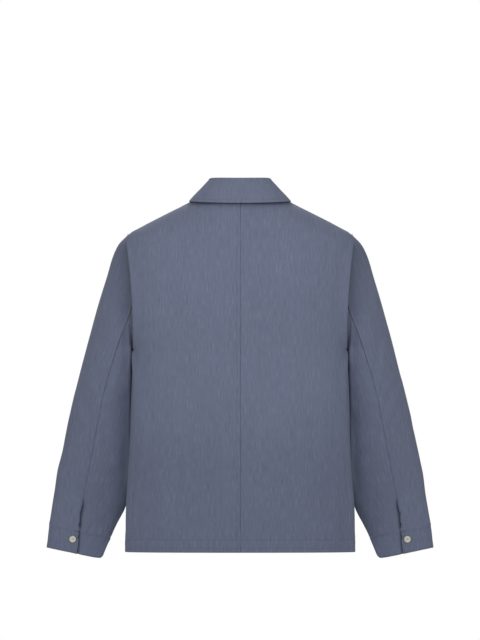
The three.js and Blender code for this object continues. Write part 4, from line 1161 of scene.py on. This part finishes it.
placed, faces = [], []
for sign in (1, -1):
    levels = np.arange(CHAIN_TOP - 2 - (0 if sign > 0 else TOOTH_PITCH / 2), CHAIN_FOOT + 1, -TOOTH_PITCH)
    for middle, ahead in zip(front_line(levels), front_line(levels - 1)):
        down = (ahead - middle) / np.linalg.norm(ahead - middle)
        start = len(placed) * len(tooth_points)
        placed.append(tooth_points @ np.array([[sign, 0, 0], [0, -down[2], down[1]], -down]) + middle)
        faces += [[v + start for v in face][::sign] for face in tooth_faces]
teeth = jacket_piece("zip_teeth", np.concatenate(placed), faces, nickel)
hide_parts("zip_chain")

for name in ("zip_slider", "zip_pull", "zip_box", "zip_stop_left", "zip_stop_right"):
    metal_part = bpy.data.objects[name]
    if not metal_part.material_slots:
        metal_part.data.materials.append(nickel)
    for place in metal_part.material_slots:
        place.material = nickel

# Each tape is sewn to its front once more near its own edge
for side, panel in front_panels.items():
    points, normals = trace(panel, from_edges(panel)[1], TAPE_ROW, (panel.down > 90) & (panel.down < 680))
    under_tape = points - normals * (CLOTH + TAPE_CLOTH + 0.65)
    stitched(f"zip_tape_{side}_stitches", [(under_tape, -normals)])

# ---------------------------------------------------------------- room
# A plain pale floor at standing height below the jacket, soft daylight, and a long-lens camera
# level with the middle of the back.
FLOOR_Z, LENS, CAMERA_OFF, CAMERA_LEVEL = -1.42, 865.5, 30.0, -0.2418
bpy.ops.object.select_all(action="DESELECT")
bpy.ops.mesh.primitive_circle_add(vertices=128, radius=8.5, fill_type="NGON", location=(0, 0, FLOOR_Z))
floor = bpy.context.object
floor.name = "floor"
floor_paint, tree = new_material("pale floor")
tree.nodes["Principled BSDF"].inputs["Base Color"].default_value = (0.80, 0.80, 0.79, 1)
tree.nodes["Principled BSDF"].inputs["Roughness"].default_value = 0.9
floor.data.materials.append(floor_paint)

world = bpy.data.worlds.new("studio")
bpy.context.scene.world = world
world.use_nodes = True
background = world.node_tree.nodes["Background"].inputs
background["Color"].default_value = (1, 1, 1, 1)
seen = add_node(world.node_tree, "ShaderNodeLightPath", {}).outputs["Is Camera Ray"]
set_input(world.node_tree, background["Strength"], between(world.node_tree, seen, 0, 1, 0.4, 1.0))


# Place, height aimed at, width, height and power of each soft light
for name, place, aim, width, height, power in (
        ("back light", (0.0, 1.9, 0.6), -0.3, 1.6, 1.2, 20),
        ("left light", (2.2, 1.6, 0.4), -0.35, 1.2, 1.2, 7.5),
        ("right light", (-2.2, 1.6, 0.4), -0.35, 1.2, 1.2, 7.5),
        ("far light", (0.4, -3.0, 1.9), -0.3, 2.6, 1.6, 52)):
    light = bpy.data.lights.new(name, "AREA")
    light.shape = "RECTANGLE"
    light.size, light.size_y, light.energy = width, height, power
    lamp = bpy.data.objects.new(name, light)
    lamp.location = place
    lamp.rotation_euler = (Vector((0, 0, aim)) - Vector(place)).to_track_quat("-Z", "Y").to_euler()
    bpy.context.scene.collection.objects.link(lamp)

camera = bpy.data.objects.new("camera", bpy.data.cameras.new("camera"))
camera.data.lens, camera.data.sensor_width, camera.data.clip_end = LENS, 36, 90
camera.location = (0.0001, CAMERA_OFF, CAMERA_LEVEL)
camera.rotation_euler = (math.pi / 2, 0, math.pi)
bpy.context.scene.collection.objects.link(camera)
bpy.context.scene.camera = camera
bpy.context.scene.view_settings.view_transform = "Standard"
